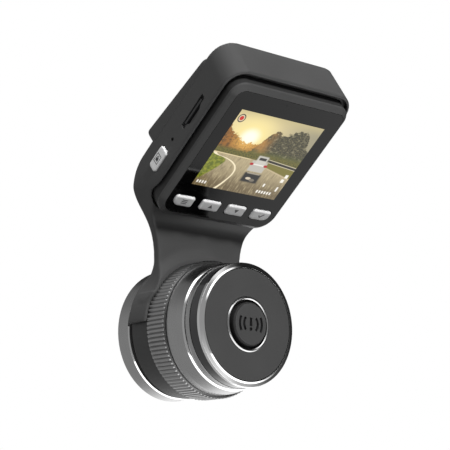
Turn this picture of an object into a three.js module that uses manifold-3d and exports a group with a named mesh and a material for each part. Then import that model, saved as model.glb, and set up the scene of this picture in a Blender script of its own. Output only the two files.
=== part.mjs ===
// Dash camera for a raked windscreen. A screen housing sticks to the glass by a wedge, a flat
// neck hangs from it, and the neck's collar carries a level camera barrel.
// Millimetres, +X to the driver's right, +Y forwards to the road, +Z up. The origin is the
// centre of the adhesive face on the wedge.
//
// Two working frames are used. The barrel frame has its origin at the centre of the barrel's
// rear end, with the barrel's axis along +Y. The head frame is turned with the screen: x to the
// right, v up the screen and n out of the screen, from the centre of the display.
import * as THREE from 'three';
import { mergeVertices } from 'three/addons/utils/BufferGeometryUtils.js';
import Module from 'manifold-3d';

const wasm = await Module();
wasm.setup();

// ---- driving dimensions -------------------------------------------------------------------

const GAP = 0.15; // assembly gap between neighbouring pieces
const SCREEN_DROP = 51.2; // degrees the screen's normal points below the horizontal
const SCREEN_HEIGHT = 57.9; // display centre above the barrel's axis
const SCREEN_SETBACK = 5.36; // display centre behind the barrel's rear end
const DISPLAY = { width: 38.4, height: 33.3 };

const BLOCK = {
  half: 26.8, top: 25.9, bottom: -31.8, radius: 5.4, lowRadius: 7.2, depth: 7.6, bevel: 1.4,
  bevelRun: 2,
};
const GLASS = { inset: 2.2, thick: 1.2 };
const SHELL = { half: 28.9, top: 28.7, radius: 7.6, rim: -3.9, back: -18.7, wall: 1.2, rear: 1.8 };
const TAPER = { rise: 0.1, narrow: 0.0015 }; // the head's top rises and its sides close rearwards
const WEDGE = { half: 28.2, top: 22.1, bottom: -16, thin: 0.45, angle: 6.2, radius: 3 };
const PAD = { half: 26, top: 20.5, bottom: -14, thick: 0.6, radius: 4 };

const NECK = { front: 25.3, rear: 28.55, half: 18.8, wide: 52, narrow: 24 };
const CHANNEL = { half: 12.4, floor: 26.7, low: 29.5, high: 46.8, cover: 1.05 };
const SHOULDER = { radius: 24.9, flare: 30.5, foot: 1.5 };
const COLLAR = { start: 25.8, end: 34.8, inner: 20.9, outer: 23.0 };

const CORE = { start: 2.6, end: 42, inner: 19.2, outer: 20.6 };
const TRIM = { end: 1.7, lip: 19.6, face: 20.0, chamfer: 0.85, outer: 21.4 };
const GRIP = { start: 16.4, end: 25.3, radius: 24.16, depth: 0.55, teeth: 100 };
const LENS_RING = { start: 35.9, end: 42.9, front: 23.0, rear: 23.45, chamfer: 0.8 };
const BUTTON = { face: 7.0, base: 7.5, proud: 1.36, travel: 0.8 };

const KEY = { width: 8.4, bottom: -26.4, top: -22, proud: 0.7, pitch: 11.9, travel: 0.5, window: 0.3 };
const SIDE_KEY = { top: -11.7, bottom: -20.7, back: -12.5, front: -8.1, proud: 0.5 };
const SLOT = { bottom: -1.3, top: 12.8, back: -10.4, front: -8.2 };
const CARD = { length: 15, width: 11, thick: 0.8, recess: 0.4 };
const CARD_PLACE = {
  bottom: (SLOT.bottom + SLOT.top - CARD.width) / 2,
  back: (SLOT.back + SLOT.front - CARD.thick) / 2,
};
const USB = { bottom: -4.6, top: 4.6, back: -10.9, front: -7.6, length: 7.4 };
const RESET = { v: -7.3, n: -10.2 };
const SPEAKER = { x: 13.5, v: 13.5, radius: 7.5, holes: [10, 12, 14, 16], holeLevel: -15.2 };
const BOARD = { half: 25.2, top: 24.5, bottom: -26.3, front: -11.2, thick: 1.2 };
const SCREW = { x: 22.5, tops: [19.5, -11.3], head: 1.8, shank: 0.9, hole: 1.15 };

const FINE = 40; // steps round the large rings
const PLAIN = 20; // steps round the small turned pieces

// ---- materials ----------------------------------------------------------------------------

const material = (color, roughness, metalness) =>
  new THREE.MeshStandardMaterial({ color, roughness, metalness });
const shellPlastic = material(0x3b3b3c, 0.55, 0);
const blackPlastic = material(0x17181a, 0.4, 0);
const glossBlack = material(0x0b0c0e, 0.06, 0);
const keyPlastic = material(0xd5d6d8, 0.45, 0);
const brightMetal = material(0xc4c6c9, 0.22, 1);
const satinMetal = material(0x8f9194, 0.38, 1);
const displayFace = material(0x8c8a5c, 0.3, 0);
const circuitBoard = material(0x14512c, 0.5, 0);
const chipBlack = material(0x1c1d20, 0.5, 0);
const rubber = material(0x101010, 0.85, 0);
const foam = material(0x2b2b2b, 0.95, 0);
const lensGlass = material(0x1b2433, 0.02, 0);
const foilSilver = material(0xa9abad, 0.45, 0.6);
const amberFilm = material(0xb5651d, 0.4, 0);

// ---- solid helpers ------------------------------------------------------------------------

// A closed geometry as a manifold solid.
function solid(geometry) {
  const plain = geometry.clone();
  plain.deleteAttribute('normal');
  plain.deleteAttribute('uv');
  const merged = mergeVertices(plain, 1e-4);
  const mesh = new wasm.Mesh({
    numProp: 3,
    vertProperties: new Float32Array(merged.attributes.position.array),
    triVerts: new Uint32Array(merged.index.array),
  });
  return new wasm.Manifold(mesh);
}

// A manifold solid as a geometry.
function geometryOf(body) {
  const mesh = body.getMesh();
  const geometry = new THREE.BufferGeometry();
  geometry.setAttribute('position', new THREE.BufferAttribute(mesh.vertProperties, 3));
  geometry.setIndex(new THREE.BufferAttribute(mesh.triVerts, 1));
  geometry.computeVertexNormals();
  return geometry;
}

// Cuts every tool out of the body, all given as geometries.
function cut(body, ...tools) {
  return geometryOf(tools.reduce((left, tool) => left.subtract(solid(tool)), solid(body)));
}

// Joins geometries that overlap.
function join(body, ...others) {
  return geometryOf(others.reduce((whole, other) => whole.add(solid(other)), solid(body)));
}

function shapeOf(points) {
  return new THREE.Shape(points.map(([x, y]) => new THREE.Vector2(x, y)));
}

// A rectangle with its corners rounded: one radius, or one each for the top and the bottom.
function roundedRect(left, bottom, right, top, radius, lowRadius = radius) {
  const shape = new THREE.Shape();
  const quarter = Math.PI / 2;
  shape.absarc(right - radius, top - radius, radius, 0, quarter);
  shape.absarc(left + radius, top - radius, radius, quarter, 2 * quarter);
  shape.absarc(left + lowRadius, bottom + lowRadius, lowRadius, 2 * quarter, 3 * quarter);
  shape.absarc(right - lowRadius, bottom + lowRadius, lowRadius, 3 * quarter, 4 * quarter);
  shape.closePath();
  return shape;
}

// A flat piece between two levels of its third axis.
function plate(shape, low, high, curveSegments = 5) {
  const geometry = new THREE.ExtrudeGeometry(shape, {
    depth: high - low,
    bevelEnabled: false,
    curveSegments,
  });
  return geometry.translate(0, 0, low);
}

// A plate whose upper edge slopes in over the bevel's run.
function bevelledPlate(shape, low, high, bevel, run = bevel, curveSegments = 5) {
  const geometry = new THREE.ExtrudeGeometry(shape, {
    depth: high - low,
    bevelThickness: bevel,
    bevelSize: run,
    bevelOffset: -run,
    bevelSegments: 1,
    curveSegments,
  });
  return geometry.translate(0, 0, low);
}

function box(low, high) {
  const size = high.map((value, axis) => value - low[axis]);
  const centre = high.map((value, axis) => (value + low[axis]) / 2);
  return new THREE.BoxGeometry(...size).translate(...centre);
}

// An outline in Y and Z, run along X from -half to +half.
function alongX(shape, half, curveSegments = 6) {
  const toYZ = new THREE.Matrix4().makeBasis(
    new THREE.Vector3(0, 1, 0),
    new THREE.Vector3(0, 0, 1),
    new THREE.Vector3(1, 0, 0),
  );
  return plate(shape, -half, half, curveSegments).applyMatrix4(toYZ);
}

// An outline in X and Z, run along Y between two places.
function alongY(shape, low, high, curveSegments = 6) {
  return plate(shape, -high, -low, curveSegments).rotateX(Math.PI / 2);
}

// A turned piece about Y: the outline's points are [radius, place along the axis], in order
// so that the solid lies on their left.
function turned(points, steps = FINE) {
  const outline = points.map(([radius, along]) => new THREE.Vector2(radius, along));
  return new THREE.LatheGeometry([...outline, outline[0].clone()], steps);
}

// A plain ring or, without an inner radius, a disc.
function ring(inner, outer, start, end, steps = FINE) {
  return turned([[inner, start], [outer, start], [outer, end], [inner, end]], steps);
}

function disc(radius, start, end, steps = PLAIN) {
  return new THREE.CylinderGeometry(radius, radius, end - start, steps)
    .translate(0, (start + end) / 2, 0);
}

// A round hole or pin along n in the head frame.
function pin(x, v, radius, low, high, steps = 12) {
  return disc(radius, low, high, steps).rotateX(Math.PI / 2).translate(x, v, 0);
}

// ---- frames -------------------------------------------------------------------------------

const barrelFrame = new THREE.Group();
const headFrame = new THREE.Group();
headFrame.position.set(0, -SCREEN_SETBACK, SCREEN_HEIGHT);
headFrame.rotation.x = THREE.MathUtils.degToRad(90 + SCREEN_DROP);
headFrame.updateMatrix();
barrelFrame.add(headFrame);

// The adhesive pad's own frame: on the wedge's sloping face, with z pointing into the head.
const padFrame = new THREE.Group();
const padCentre = (PAD.top + PAD.bottom) / 2;
const wedgeSlope = Math.tan(THREE.MathUtils.degToRad(WEDGE.angle));
const wedgeFace = (v) => SHELL.back - GAP - WEDGE.thin - (WEDGE.top - v) * wedgeSlope;
padFrame.position.set(0, padCentre, wedgeFace(padCentre));
padFrame.rotation.x = THREE.MathUtils.degToRad(WEDGE.angle);
padFrame.updateMatrix();
headFrame.add(padFrame);

// Where the middle of the pad's outer face lies in the barrel frame.
const mountFace = new THREE.Vector3(0, 0, -GAP - PAD.thick)
  .applyMatrix4(padFrame.matrix)
  .applyMatrix4(headFrame.matrix);
barrelFrame.position.copy(mountFace).negate();

// A point of the head frame's middle plane, as [y, z] in the barrel frame.
function inHead(v, n) {
  const point = new THREE.Vector3(0, v, n).applyMatrix4(headFrame.matrix);
  return [point.y, point.z];
}

// The screen-frame v where a plane of constant n crosses the barrel frame's y.
function crossing(n, y) {
  const [startY] = inHead(0, n);
  const [stepY] = inHead(1, n);
  return (y - startY) / (stepY - startY);
}

function add(frame, name, geometry, finish) {
  const mesh = new THREE.Mesh(geometry, finish);
  mesh.name = name;
  frame.add(mesh);
}

// ---- housings -----------------------------------------------------------------------------

// Half the width of the head, the neck and the collar's shoulder, seen along Y.
function frontOutline() {
  const high = SCREEN_HEIGHT + 60;
  const bend = NECK.wide - 11.5;
  const ringTop = 0.5; // where the neck's flare meets the shoulder, as a share of its radius
  const ringHalf = SHOULDER.radius * Math.sqrt(1 - ringTop ** 2);
  const turn = Math.asin(ringTop);
  const shape = new THREE.Shape();
  shape.moveTo(SHELL.half, high);
  shape.lineTo(-SHELL.half, high);
  shape.lineTo(-SHELL.half, NECK.wide);
  shape.bezierCurveTo(-SHELL.half, bend, -NECK.half, bend, -NECK.half, NECK.narrow);
  shape.quadraticCurveTo(-NECK.half, 16.5, -ringHalf, SHOULDER.radius * ringTop);
  shape.absarc(0, 0, SHOULDER.radius, Math.PI - turn, Math.PI);
  shape.lineTo(SHOULDER.radius, 0);
  shape.absarc(0, 0, SHOULDER.radius, 0, turn);
  shape.quadraticCurveTo(NECK.half, 16.5, NECK.half, NECK.narrow);
  shape.bezierCurveTo(NECK.half, bend, SHELL.half, bend, SHELL.half, NECK.wide);
  return shape;
}

// The head and neck from the side, as [y, z].
function sideOutline() {
  const { top, rim, back } = SHELL;
  const edge = 1.2;
  const soft = 0.9;
  const rearBend = 7;
  const frontBend = 4;
  const backTop = top + (rim - back) * TAPER.rise;
  const backTurn = crossing(back, NECK.rear);
  const frontTurn = crossing(rim, NECK.front);
  const [rearY, rearZ] = inHead(backTurn, back);
  const [frontY, frontZ] = inHead(frontTurn, rim);
  const shape = new THREE.Shape();
  shape.moveTo(...inHead(top - soft, rim));
  shape.lineTo(...inHead(top, rim - soft));
  shape.lineTo(...inHead(backTop, back + edge));
  shape.lineTo(...inHead(backTop - edge, back));
  shape.lineTo(...inHead(backTurn + rearBend, back));
  shape.quadraticCurveTo(rearY, rearZ, rearY, rearZ - rearBend);
  shape.lineTo(NECK.rear, 0);
  shape.lineTo(NECK.front, 0);
  shape.lineTo(frontY, frontZ - frontBend);
  shape.quadraticCurveTo(frontY, frontZ, ...inHead(frontTurn + frontBend, rim));
  shape.closePath();
  return shape;
}

// The half ring over the collar, with the fillet that carries it into the neck.
function shoulderRing() {
  const { radius, flare } = SHOULDER;
  const outline = [[10, NECK.front], [flare, NECK.front], [flare, NECK.rear]];
  const steps = 5;
  for (let step = 1; step <= steps; step += 1) {
    const turn = (step / steps) * (Math.PI / 2);
    const drop = flare - radius - 0.2;
    const run = COLLAR.end - 1 - NECK.rear;
    outline.push([flare - drop * Math.sin(turn), NECK.rear + run * (1 - Math.cos(turn))]);
  }
  outline.push([radius, COLLAR.end - 0.5], [radius - 0.5, COLLAR.end], [10, COLLAR.end]);
  return turned(outline);
}

// A plate along n in the head frame that leans and narrows as the head does, placed in the
// barrel frame.
function headPrism(shape, low, high) {
  const prism = plate(shape, low, high);
  const places = prism.attributes.position;
  for (let index = 0; index < places.count; index += 1) {
    const behind = SHELL.rim - places.getZ(index);
    places.setX(index, places.getX(index) * (1 - TAPER.narrow * behind));
    places.setY(index, places.getY(index) + TAPER.rise * behind);
  }
  return inHeadFrame(prism);
}

function inHeadFrame(geometry) {
  return geometry.applyMatrix4(headFrame.matrix);
}

// The crescent beside the card slot that lets a fingernail reach the card.
function nailNotch() {
  const middle = (SLOT.bottom + SLOT.top) / 2;
  const shape = new THREE.Shape();
  shape.moveTo(middle - 4.6, SLOT.front - 0.3);
  shape.quadraticCurveTo(middle - 1, SLOT.front + 4.2, middle + 4.6, SLOT.front - 0.3);
  shape.closePath();
  return inHeadFrame(alongX(shape, 1.2, 5).translate(-SHELL.half, 0, 0));
}

function mainHousing() {
  const { half, top, radius, wall, back, rear } = SHELL;
  const outline = roundedRect(-half, -150, half, top, radius, 1);
  const head = solid(alongX(sideOutline(), half + 1)).intersect(solid(headPrism(outline, -60, 40)));
  const shoulder = solid(shoulderRing());
  // The cavity's bottom rises with depth, so that it stays clear of the neck's rear.
  const inner = ([bottom, low]) => headPrism(
    roundedRect(-half + wall, bottom, half - wall, top - wall, radius - wall, BLOCK.lowRadius + 0.8),
    low, 40);
  const cavity = [[BLOCK.bottom - 0.6, -8.2], [-30.4, -13.9], [-25.5, back + rear]];
  const channelEnd = NECK.rear + 1;
  const cuts = [
    ...cavity.map(inner),
    disc(COLLAR.outer + 0.3, NECK.front - 1, COLLAR.end + 1, FINE),
    box([-40, 0, -40], [40, 60, SHOULDER.foot]),
    box([-CHANNEL.half, CHANNEL.floor, CHANNEL.low], [CHANNEL.half, channelEnd, CHANNEL.high]),
    box([-5, CHANNEL.floor - 0.3, 15], [5, CHANNEL.floor + 0.7, 51.4]),
    box([-5, 22.5, 50.3], [5, 27.2, 52.4]),
    nailNotch(),
    ...wallOpenings().map(inHeadFrame),
  ];
  const whole = head.add(shoulder).intersect(solid(alongY(frontOutline(), -50, 60)));
  return geometryOf(cuts.reduce((left, tool) => left.subtract(solid(tool)), whole));
}

// The card slot, reset hole, side key's hole, socket, speaker holes and screw holes.
function wallOpenings() {
  const wall = -SHELL.half;
  const across = (radius, low, high, v, n) =>
    disc(radius, low, high, 10).rotateZ(-Math.PI / 2).translate(0, v, n);
  const { top, bottom, back, front } = SIDE_KEY;
  const keyHole = roundedRect(bottom - GAP, back - GAP, top + GAP, front + GAP, 1.3);
  return [
    box([wall - 1, SLOT.bottom, SLOT.back], [wall + 2, SLOT.top, SLOT.front]),
    across(0.5, wall - 1, wall + 2, RESET.v, RESET.n),
    alongX(keyHole, 2, 3).translate(wall, 0, 0),
    box([-wall - 2, USB.bottom - 0.3, USB.back - 0.3], [-wall + 1, USB.top + 0.3, USB.front + 0.3]),
    ...SPEAKER.holes.map((v) => across(0.6, -wall - 2, -wall + 1, v, SPEAKER.holeLevel)),
    ...screwPlaces().flatMap(([x, v]) => [
      pin(x, v, SCREW.hole, SHELL.back - 1, -14),
      pin(x, v, SCREW.head + 0.25, SHELL.back - 1, SHELL.back + 1.2, 16),
    ]),
  ];
}

// The cover that closes the cable channel on the neck's road side.
function neckCover() {
  const { half, low, high, cover } = CHANNEL;
  const outline = roundedRect(-half + 0.3, low + 0.3, half - 0.3, high - 0.3, 1.5);
  return alongY(outline, NECK.rear - GAP - cover, NECK.rear - GAP, 3);
}

function screwPlaces() {
  return SCREW.tops.flatMap((v) => [-SCREW.x, SCREW.x].map((x) => [x, v]));
}

// The raised block that holds the screen, with four bosses for the housing screws.
function frontHousing() {
  const { half, top, bottom, radius, lowRadius, depth, bevel, bevelRun } = BLOCK;
  const outline = roundedRect(-half, bottom, half, top, radius, lowRadius);
  const block = bevelledPlate(outline, -depth - bevel, -bevel, bevel, bevelRun);
  const wall = 3;
  const inside = roundedRect(-half + wall, bottom + wall - 0.6, half - wall, top - wall,
    radius - wall, lowRadius - wall);
  const bosses = screwPlaces().map(([x, v]) => pin(x, v, 2.3, BOARD.front + GAP, -5.8, 12));
  const holes = screwPlaces().map(([x, v]) => pin(x, v, SCREW.hole, BOARD.front - 1, -6.5, 10));
  const frame = cut(block,
    box([-half - 1, bottom - 1, -depth - 9], [half + 1, top + 1, -depth]),
    plate(glassOutline(GLASS.inset - 0.1), -GLASS.thick - 0.2, 1),
    plate(inside, -depth - 1, 1));
  return cut(join(frame, ...bosses), ...holes);
}

function collarRing() {
  const collar = ring(COLLAR.inner, COLLAR.outer, COLLAR.start, COLLAR.end);
  const notch = box([-5, COLLAR.start - 1, 15], [5, COLLAR.start + 2, 30]);
  return cut(collar, notch);
}

add(barrelFrame, 'main_housing', mainHousing(), shellPlastic);
add(headFrame, 'front_housing', frontHousing(), shellPlastic);
add(barrelFrame, 'neck_cover', neckCover(), shellPlastic);
add(barrelFrame, 'collar_ring', collarRing(), shellPlastic);

// ---- mount --------------------------------------------------------------------------------

function mountWedge() {
  const shape = shapeOf([
    [WEDGE.top, SHELL.back - GAP],
    [WEDGE.top, wedgeFace(WEDGE.top)],
    [WEDGE.bottom + 1.6, wedgeFace(WEDGE.bottom + 1.6)],
    [WEDGE.bottom, wedgeFace(WEDGE.bottom) + 1.6],
    [WEDGE.bottom, SHELL.back - GAP],
  ]);
  const block = solid(alongX(shape, WEDGE.half));
  const outline = roundedRect(-WEDGE.half, WEDGE.bottom, WEDGE.half, WEDGE.top, WEDGE.radius);
  return geometryOf(block.intersect(solid(plate(outline, -40, 0, 4))));
}

function adhesivePad() {
  const outline = roundedRect(-PAD.half, PAD.bottom - padCentre, PAD.half, PAD.top - padCentre,
    PAD.radius);
  return plate(outline, -GAP - PAD.thick, -GAP, 4);
}

add(headFrame, 'mount_wedge', mountWedge(), blackPlastic);
add(padFrame, 'adhesive_pad', adhesivePad(), foam);

function housingScrew([x, v]) {
  const headBack = SHELL.back - 0.05;
  const driver = pin(x, v, 0.8, headBack - 0.5, headBack + 0.5, 6);
  const head = pin(x, v, SCREW.head, headBack, headBack + 1.1, 16);
  const shank = pin(x, v, SCREW.shank, headBack + 1, -6.9, 12);
  return cut(join(head, shank), driver);
}

screwPlaces().forEach((place, index) =>
  add(headFrame, `housing_screw_${index + 1}`, housingScrew(place), satinMetal));

// ---- screen and keys ----------------------------------------------------------------------

function glassOutline(inset) {
  const { half, top, bottom, radius, lowRadius } = BLOCK;
  return roundedRect(-half + inset, bottom + inset, half - inset, top - inset, radius - inset,
    lowRadius - inset);
}

const keyPlaces = { menu_key: -1.5, up_key: -0.5, down_key: 0.5, ok_key: 1.5 };

// A key's outline, grown by a margin. The outer keys' low corners follow the block's corner.
function keyOutline(place, margin) {
  const middle = place * KEY.pitch;
  const left = middle - KEY.width / 2 - margin;
  const right = middle + KEY.width / 2 + margin;
  const low = KEY.bottom - margin;
  const high = KEY.top + margin;
  const small = 0.9 + margin;
  const large = 2.6 + margin;
  const quarter = Math.PI / 2;
  const shape = new THREE.Shape();
  const lowLeft = place < -1 ? large : small;
  const lowRight = place > 1 ? large : small;
  shape.absarc(right - small, high - small, small, 0, quarter);
  shape.absarc(left + small, high - small, small, quarter, 2 * quarter);
  shape.absarc(left + lowLeft, low + lowLeft, lowLeft, 2 * quarter, 3 * quarter);
  shape.absarc(right - lowRight, low + lowRight, lowRight, 3 * quarter, 4 * quarter);
  shape.closePath();
  return shape;
}

function screenGlass() {
  const places = Object.values(keyPlaces);
  const windows = places.map((place) => plate(keyOutline(place, KEY.window), -3, 2, 2));
  return cut(plate(glassOutline(GLASS.inset), -GLASS.thick, 0), ...windows);
}

function keyCap(place) {
  const bevel = 0.35;
  const middle = place * KEY.pitch;
  const reach = KEY.width / 2 + 0.8;
  const cap = bevelledPlate(keyOutline(place, 0), -2.2, KEY.proud - bevel, bevel, bevel, 2);
  const flange = box([middle - reach, KEY.bottom + 1, -2.1], [middle + reach, KEY.top - 0.4, -1.6]);
  return join(cap, flange);
}

function keyMembrane() {
  const sheet = plate(roundedRect(-22.4, KEY.bottom, 22.4, KEY.top + 0.8, 1.5, 3.6), -4.6, -3.9, 3);
  const middle = (KEY.bottom + KEY.top) / 2;
  const domes = Object.values(keyPlaces).map((place) =>
    pin(place * KEY.pitch, middle, 1.6, -4.2, -2.2 - 0.35 - KEY.travel - GAP, 10));
  return join(sheet, ...domes);
}

add(headFrame, 'screen_glass', screenGlass(), glossBlack);
Object.entries(keyPlaces).forEach(([name, place]) =>
  add(headFrame, name, keyCap(place), keyPlastic));
add(headFrame, 'key_membrane', keyMembrane(), rubber);

const panelHalf = DISPLAY.width / 2 + 1.4;
const panelHigh = DISPLAY.height / 2 + 1.6;
const panelLow = -DISPLAY.height / 2 - 2.4;
add(headFrame, 'lcd_panel', box([-panelHalf, panelLow, -2.9], [panelHalf, panelHigh, -1.5]),
  displayFace);
add(headFrame, 'backlight_unit',
  box([-panelHalf - 0.6, panelLow - 0.4, -5.2], [panelHalf + 0.6, panelHigh + 0.4, -3.1]),
  foilSilver);

add(headFrame, 'microphone', pin(-2.7, 21.6, 1.2, -2.8, -1.5, 12), satinMetal);
add(headFrame, 'status_light', pin(4.9, 21.6, 0.9, -2.8, -1.5, 12), displayFace);

// ---- electronics in the head --------------------------------------------------------------

const boardBack = BOARD.front - BOARD.thick;

function mainBoard() {
  const outline = roundedRect(-BOARD.half, BOARD.bottom, BOARD.half, BOARD.top, 4, 6.5);
  const holes = screwPlaces().map(([x, v]) => pin(x, v, SCREW.hole, boardBack - 1,
    BOARD.front + 1));
  return cut(plate(outline, boardBack, BOARD.front, 3), ...holes);
}

function cardSocket() {
  const { half, wall } = SHELL;
  const low = CARD_PLACE.bottom - 1.3;
  const high = CARD_PLACE.bottom + CARD.width + 1.3;
  const mouth = -half + wall + 0.4;
  const shell = box([mouth, low, BOARD.front + GAP], [mouth + 16, high, SLOT.front - 0.1]);
  const space = box([mouth - 1, CARD_PLACE.bottom - 0.25, CARD_PLACE.back - 0.2],
    [mouth + 14.6, CARD_PLACE.bottom + CARD.width + 0.25, CARD_PLACE.back + CARD.thick + 0.2]);
  return cut(shell, space);
}

// The card: a notch on its upper side marks its inner end.
function memoryCard() {
  const left = -SHELL.half + CARD.recess;
  const { bottom, back } = CARD_PLACE;
  const right = left + CARD.length;
  const shape = shapeOf([
    [left, bottom],
    [right, bottom],
    [right, bottom + CARD.width - 1.6],
    [right - 6.5, bottom + CARD.width - 1.6],
    [right - 7.6, bottom + CARD.width],
    [left, bottom + CARD.width],
  ]);
  return plate(shape, back, back + CARD.thick);
}

// The side key: a cap outside the wall and a flange inside it.
function sideButton() {
  const { top, bottom, back, front, proud } = SIDE_KEY;
  const outer = -SHELL.half - proud;
  const inner = -SHELL.half + SHELL.wall + 0.7;
  const half = (inner + 0.6 - outer) / 2;
  const cap = alongX(roundedRect(bottom, back, top, front, 1.2), half, 3)
    .translate(outer + half, 0, 0);
  const flange = alongX(roundedRect(bottom - 0.7, back - 0.5, top + 0.7, front + 0.5, 1.2), 0.3, 3)
    .translate(inner + 0.3, 0, 0);
  return join(cap, flange);
}

add(headFrame, 'main_board', mainBoard(), circuitBoard);
add(headFrame, 'card_socket', cardSocket(), foilSilver);
add(headFrame, 'memory_card', memoryCard(), chipBlack);
add(headFrame, 'side_button', sideButton(), keyPlastic);
add(headFrame, 'side_switch',
  box([-25.7, -19.2, BOARD.front + GAP], [-22.7, -14, -8.7]), chipBlack);
add(headFrame, 'reset_switch',
  box([-26.9, -8.8, BOARD.front + GAP], [-23.9, -5.8, -9.2]), chipBlack);
add(headFrame, 'processor', box([-16, 5, boardBack - 1.35], [-2, 19, boardBack - GAP]), chipBlack);
add(headFrame, 'heat_spreader',
  box([-20, 2, boardBack - 2.5], [1.5, 22, boardBack - 1.5]), satinMetal);
add(headFrame, 'memory_chip', box([-16, -8, boardBack - 1.0], [-6, 0.4, boardBack - GAP]),
  chipBlack);
add(headFrame, 'battery',
  plate(roundedRect(-17, -20.5, 17, -9, 1.5), SHELL.back + SHELL.rear + 0.2, boardBack - 0.6, 3),
  foilSilver);
add(headFrame, 'speaker', pin(SPEAKER.x, SPEAKER.v, SPEAKER.radius,
  SHELL.back + SHELL.rear + 0.2, boardBack - 1.2, 24), chipBlack);

function usbSocket() {
  const outer = SHELL.half - 0.3;
  const shell = box([outer - USB.length, USB.bottom, USB.back], [outer, USB.top, USB.front]);
  const mouth = box([outer - USB.length + 1, USB.bottom + 0.4, USB.back + 0.4],
    [outer + 1, USB.top - 0.4, USB.front - 0.4]);
  return cut(shell, mouth);
}

add(headFrame, 'usb_socket', usbSocket(), brightMetal);

// The ribbon that runs down the neck's channel from the main board to the camera.
function flexCable() {
  const thick = 0.3;
  const path = [
    inHead(-22, boardBack - 0.5),
    inHead(-26, boardBack - 0.7),
    [26.3, 51.2],
    [26.9, 49.8],
    [27.05, 48],
    [27.05, 21],
    [26.6, 19.2],
    [25.4, 18.2],
    [23, 18.05],
  ].map(([y, z]) => new THREE.Vector2(y, z));
  const offset = (side) => path.map((point, index) => {
    const before = path[Math.max(index - 1, 0)];
    const after = path[Math.min(index + 1, path.length - 1)];
    const along = after.clone().sub(before).normalize();
    return new THREE.Vector2(-along.y, along.x).multiplyScalar(side * thick / 2).add(point);
  });
  return alongX(new THREE.Shape([...offset(1), ...offset(-1).reverse()]), 4);
}

add(barrelFrame, 'flex_cable', flexCable(), amberFilm);

// ---- barrel's turned shells ---------------------------------------------------------------

const bandInner = CORE.outer + GAP;

// The inner tube, with a window at the top that clears the ribbon as the barrel turns.
function barrelCore() {
  const windowHalf = 50;
  const sector = new THREE.Shape();
  const reach = 30;
  const left = THREE.MathUtils.degToRad(90 + windowHalf);
  const right = THREE.MathUtils.degToRad(90 - windowHalf);
  sector.moveTo(0, 0);
  sector.lineTo(reach * Math.cos(right), reach * Math.sin(right));
  sector.lineTo(0, reach * 1.5);
  sector.lineTo(reach * Math.cos(left), reach * Math.sin(left));
  sector.closePath();
  return cut(ring(CORE.inner, CORE.outer, CORE.start, CORE.end),
    alongY(sector, COLLAR.start - 1, COLLAR.start + 2));
}

// The grip ring: straight teeth all round, made as a toothed plate with a bore.
function gripRing() {
  const root = GRIP.radius - GRIP.depth;
  const outline = [];
  for (let tooth = 0; tooth < GRIP.teeth; tooth += 1) {
    const start = (tooth / GRIP.teeth) * 2 * Math.PI;
    const step = Math.PI / GRIP.teeth;
    outline.push([GRIP.radius * Math.cos(start), GRIP.radius * Math.sin(start)]);
    outline.push([root * Math.cos(start + step), root * Math.sin(start + step)]);
  }
  const shape = shapeOf(outline);
  const bore = new THREE.Path();
  bore.absarc(0, 0, bandInner, 0, 2 * Math.PI, true);
  shape.holes.push(bore);
  return alongY(shape, GRIP.start, GRIP.end, FINE);
}

const trimRing = turned([
  [TRIM.lip, 0], [TRIM.face, 0], [TRIM.outer, TRIM.chamfer], [TRIM.outer + 0.1, TRIM.end],
  [TRIM.lip, TRIM.end],
]);
const sleeve = turned([
  [bandInner, 8.3], [21.5, 8.3], [22.2, 10.3], [22.8, 13.2], [23, 16.25], [bandInner, 16.25],
]);
const lensEndRing = turned([
  [bandInner, LENS_RING.start], [LENS_RING.front - 0.7, LENS_RING.start],
  [LENS_RING.front, LENS_RING.start + LENS_RING.chamfer],
  [LENS_RING.rear, LENS_RING.end - LENS_RING.chamfer], [LENS_RING.rear - 0.8, LENS_RING.end],
  [bandInner, LENS_RING.end],
]);

add(barrelFrame, 'barrel_core', barrelCore(), blackPlastic);
add(barrelFrame, 'end_trim_ring', trimRing, brightMetal);
add(barrelFrame, 'dark_band', ring(bandInner, 21.3, TRIM.end + GAP, 5.6), glossBlack);
add(barrelFrame, 'light_band', ring(bandInner, 21.5, 5.75, 8.15), satinMetal);
add(barrelFrame, 'sleeve', sleeve, satinMetal);
add(barrelFrame, 'grip_ring', gripRing(), satinMetal);
add(barrelFrame, 'friction_washer', ring(CORE.outer + 0.3, 22.5, 34.95, 35.75), rubber);
add(barrelFrame, 'lens_end_ring', lensEndRing, satinMetal);

// ---- rear end: plate, trim and emergency button -------------------------------------------

const plateBack = 1.6;
const buttonBack = 2.7;
const stemEnd = 4.2;
const switchFront = stemEnd + BUTTON.travel + 0.2;
const buttonBoard = 8.6;
const trimHole = 9.6;

const buttonTrim = turned([
  [8.6, -0.1], [9.0, -0.35], [9.45, 0], [9.45, plateBack - GAP], [8.6, plateBack - GAP],
]);
const buttonCap = turned([
  [0, -BUTTON.proud], [BUTTON.face, -BUTTON.proud], [BUTTON.base, -BUTTON.proud + 0.6],
  [BUTTON.base, buttonBack - 0.8], [9.1, buttonBack - 0.8], [9.1, buttonBack],
  [1.5, buttonBack], [1.5, stemEnd], [0, stemEnd],
], 32);
const switchBody = cut(box([-3, switchFront, -3], [3, buttonBoard - GAP, 3]),
  disc(1.9, switchFront - 1, switchFront + 1.9, 16));

add(barrelFrame, 'end_plate', ring(trimHole, TRIM.lip - GAP, 0.1, plateBack), shellPlastic);
add(barrelFrame, 'button_trim', buttonTrim, brightMetal);
add(barrelFrame, 'emergency_button', buttonCap, shellPlastic);
add(barrelFrame, 'emergency_plunger', disc(1.7, stemEnd + GAP, switchFront + 0.6, 16), chipBlack);
add(barrelFrame, 'emergency_switch', switchBody, chipBlack);
add(barrelFrame, 'button_board', disc(CORE.inner - 0.4, buttonBoard, buttonBoard + 1.2, 32),
  circuitBoard);

// ---- camera module ------------------------------------------------------------------------

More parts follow.
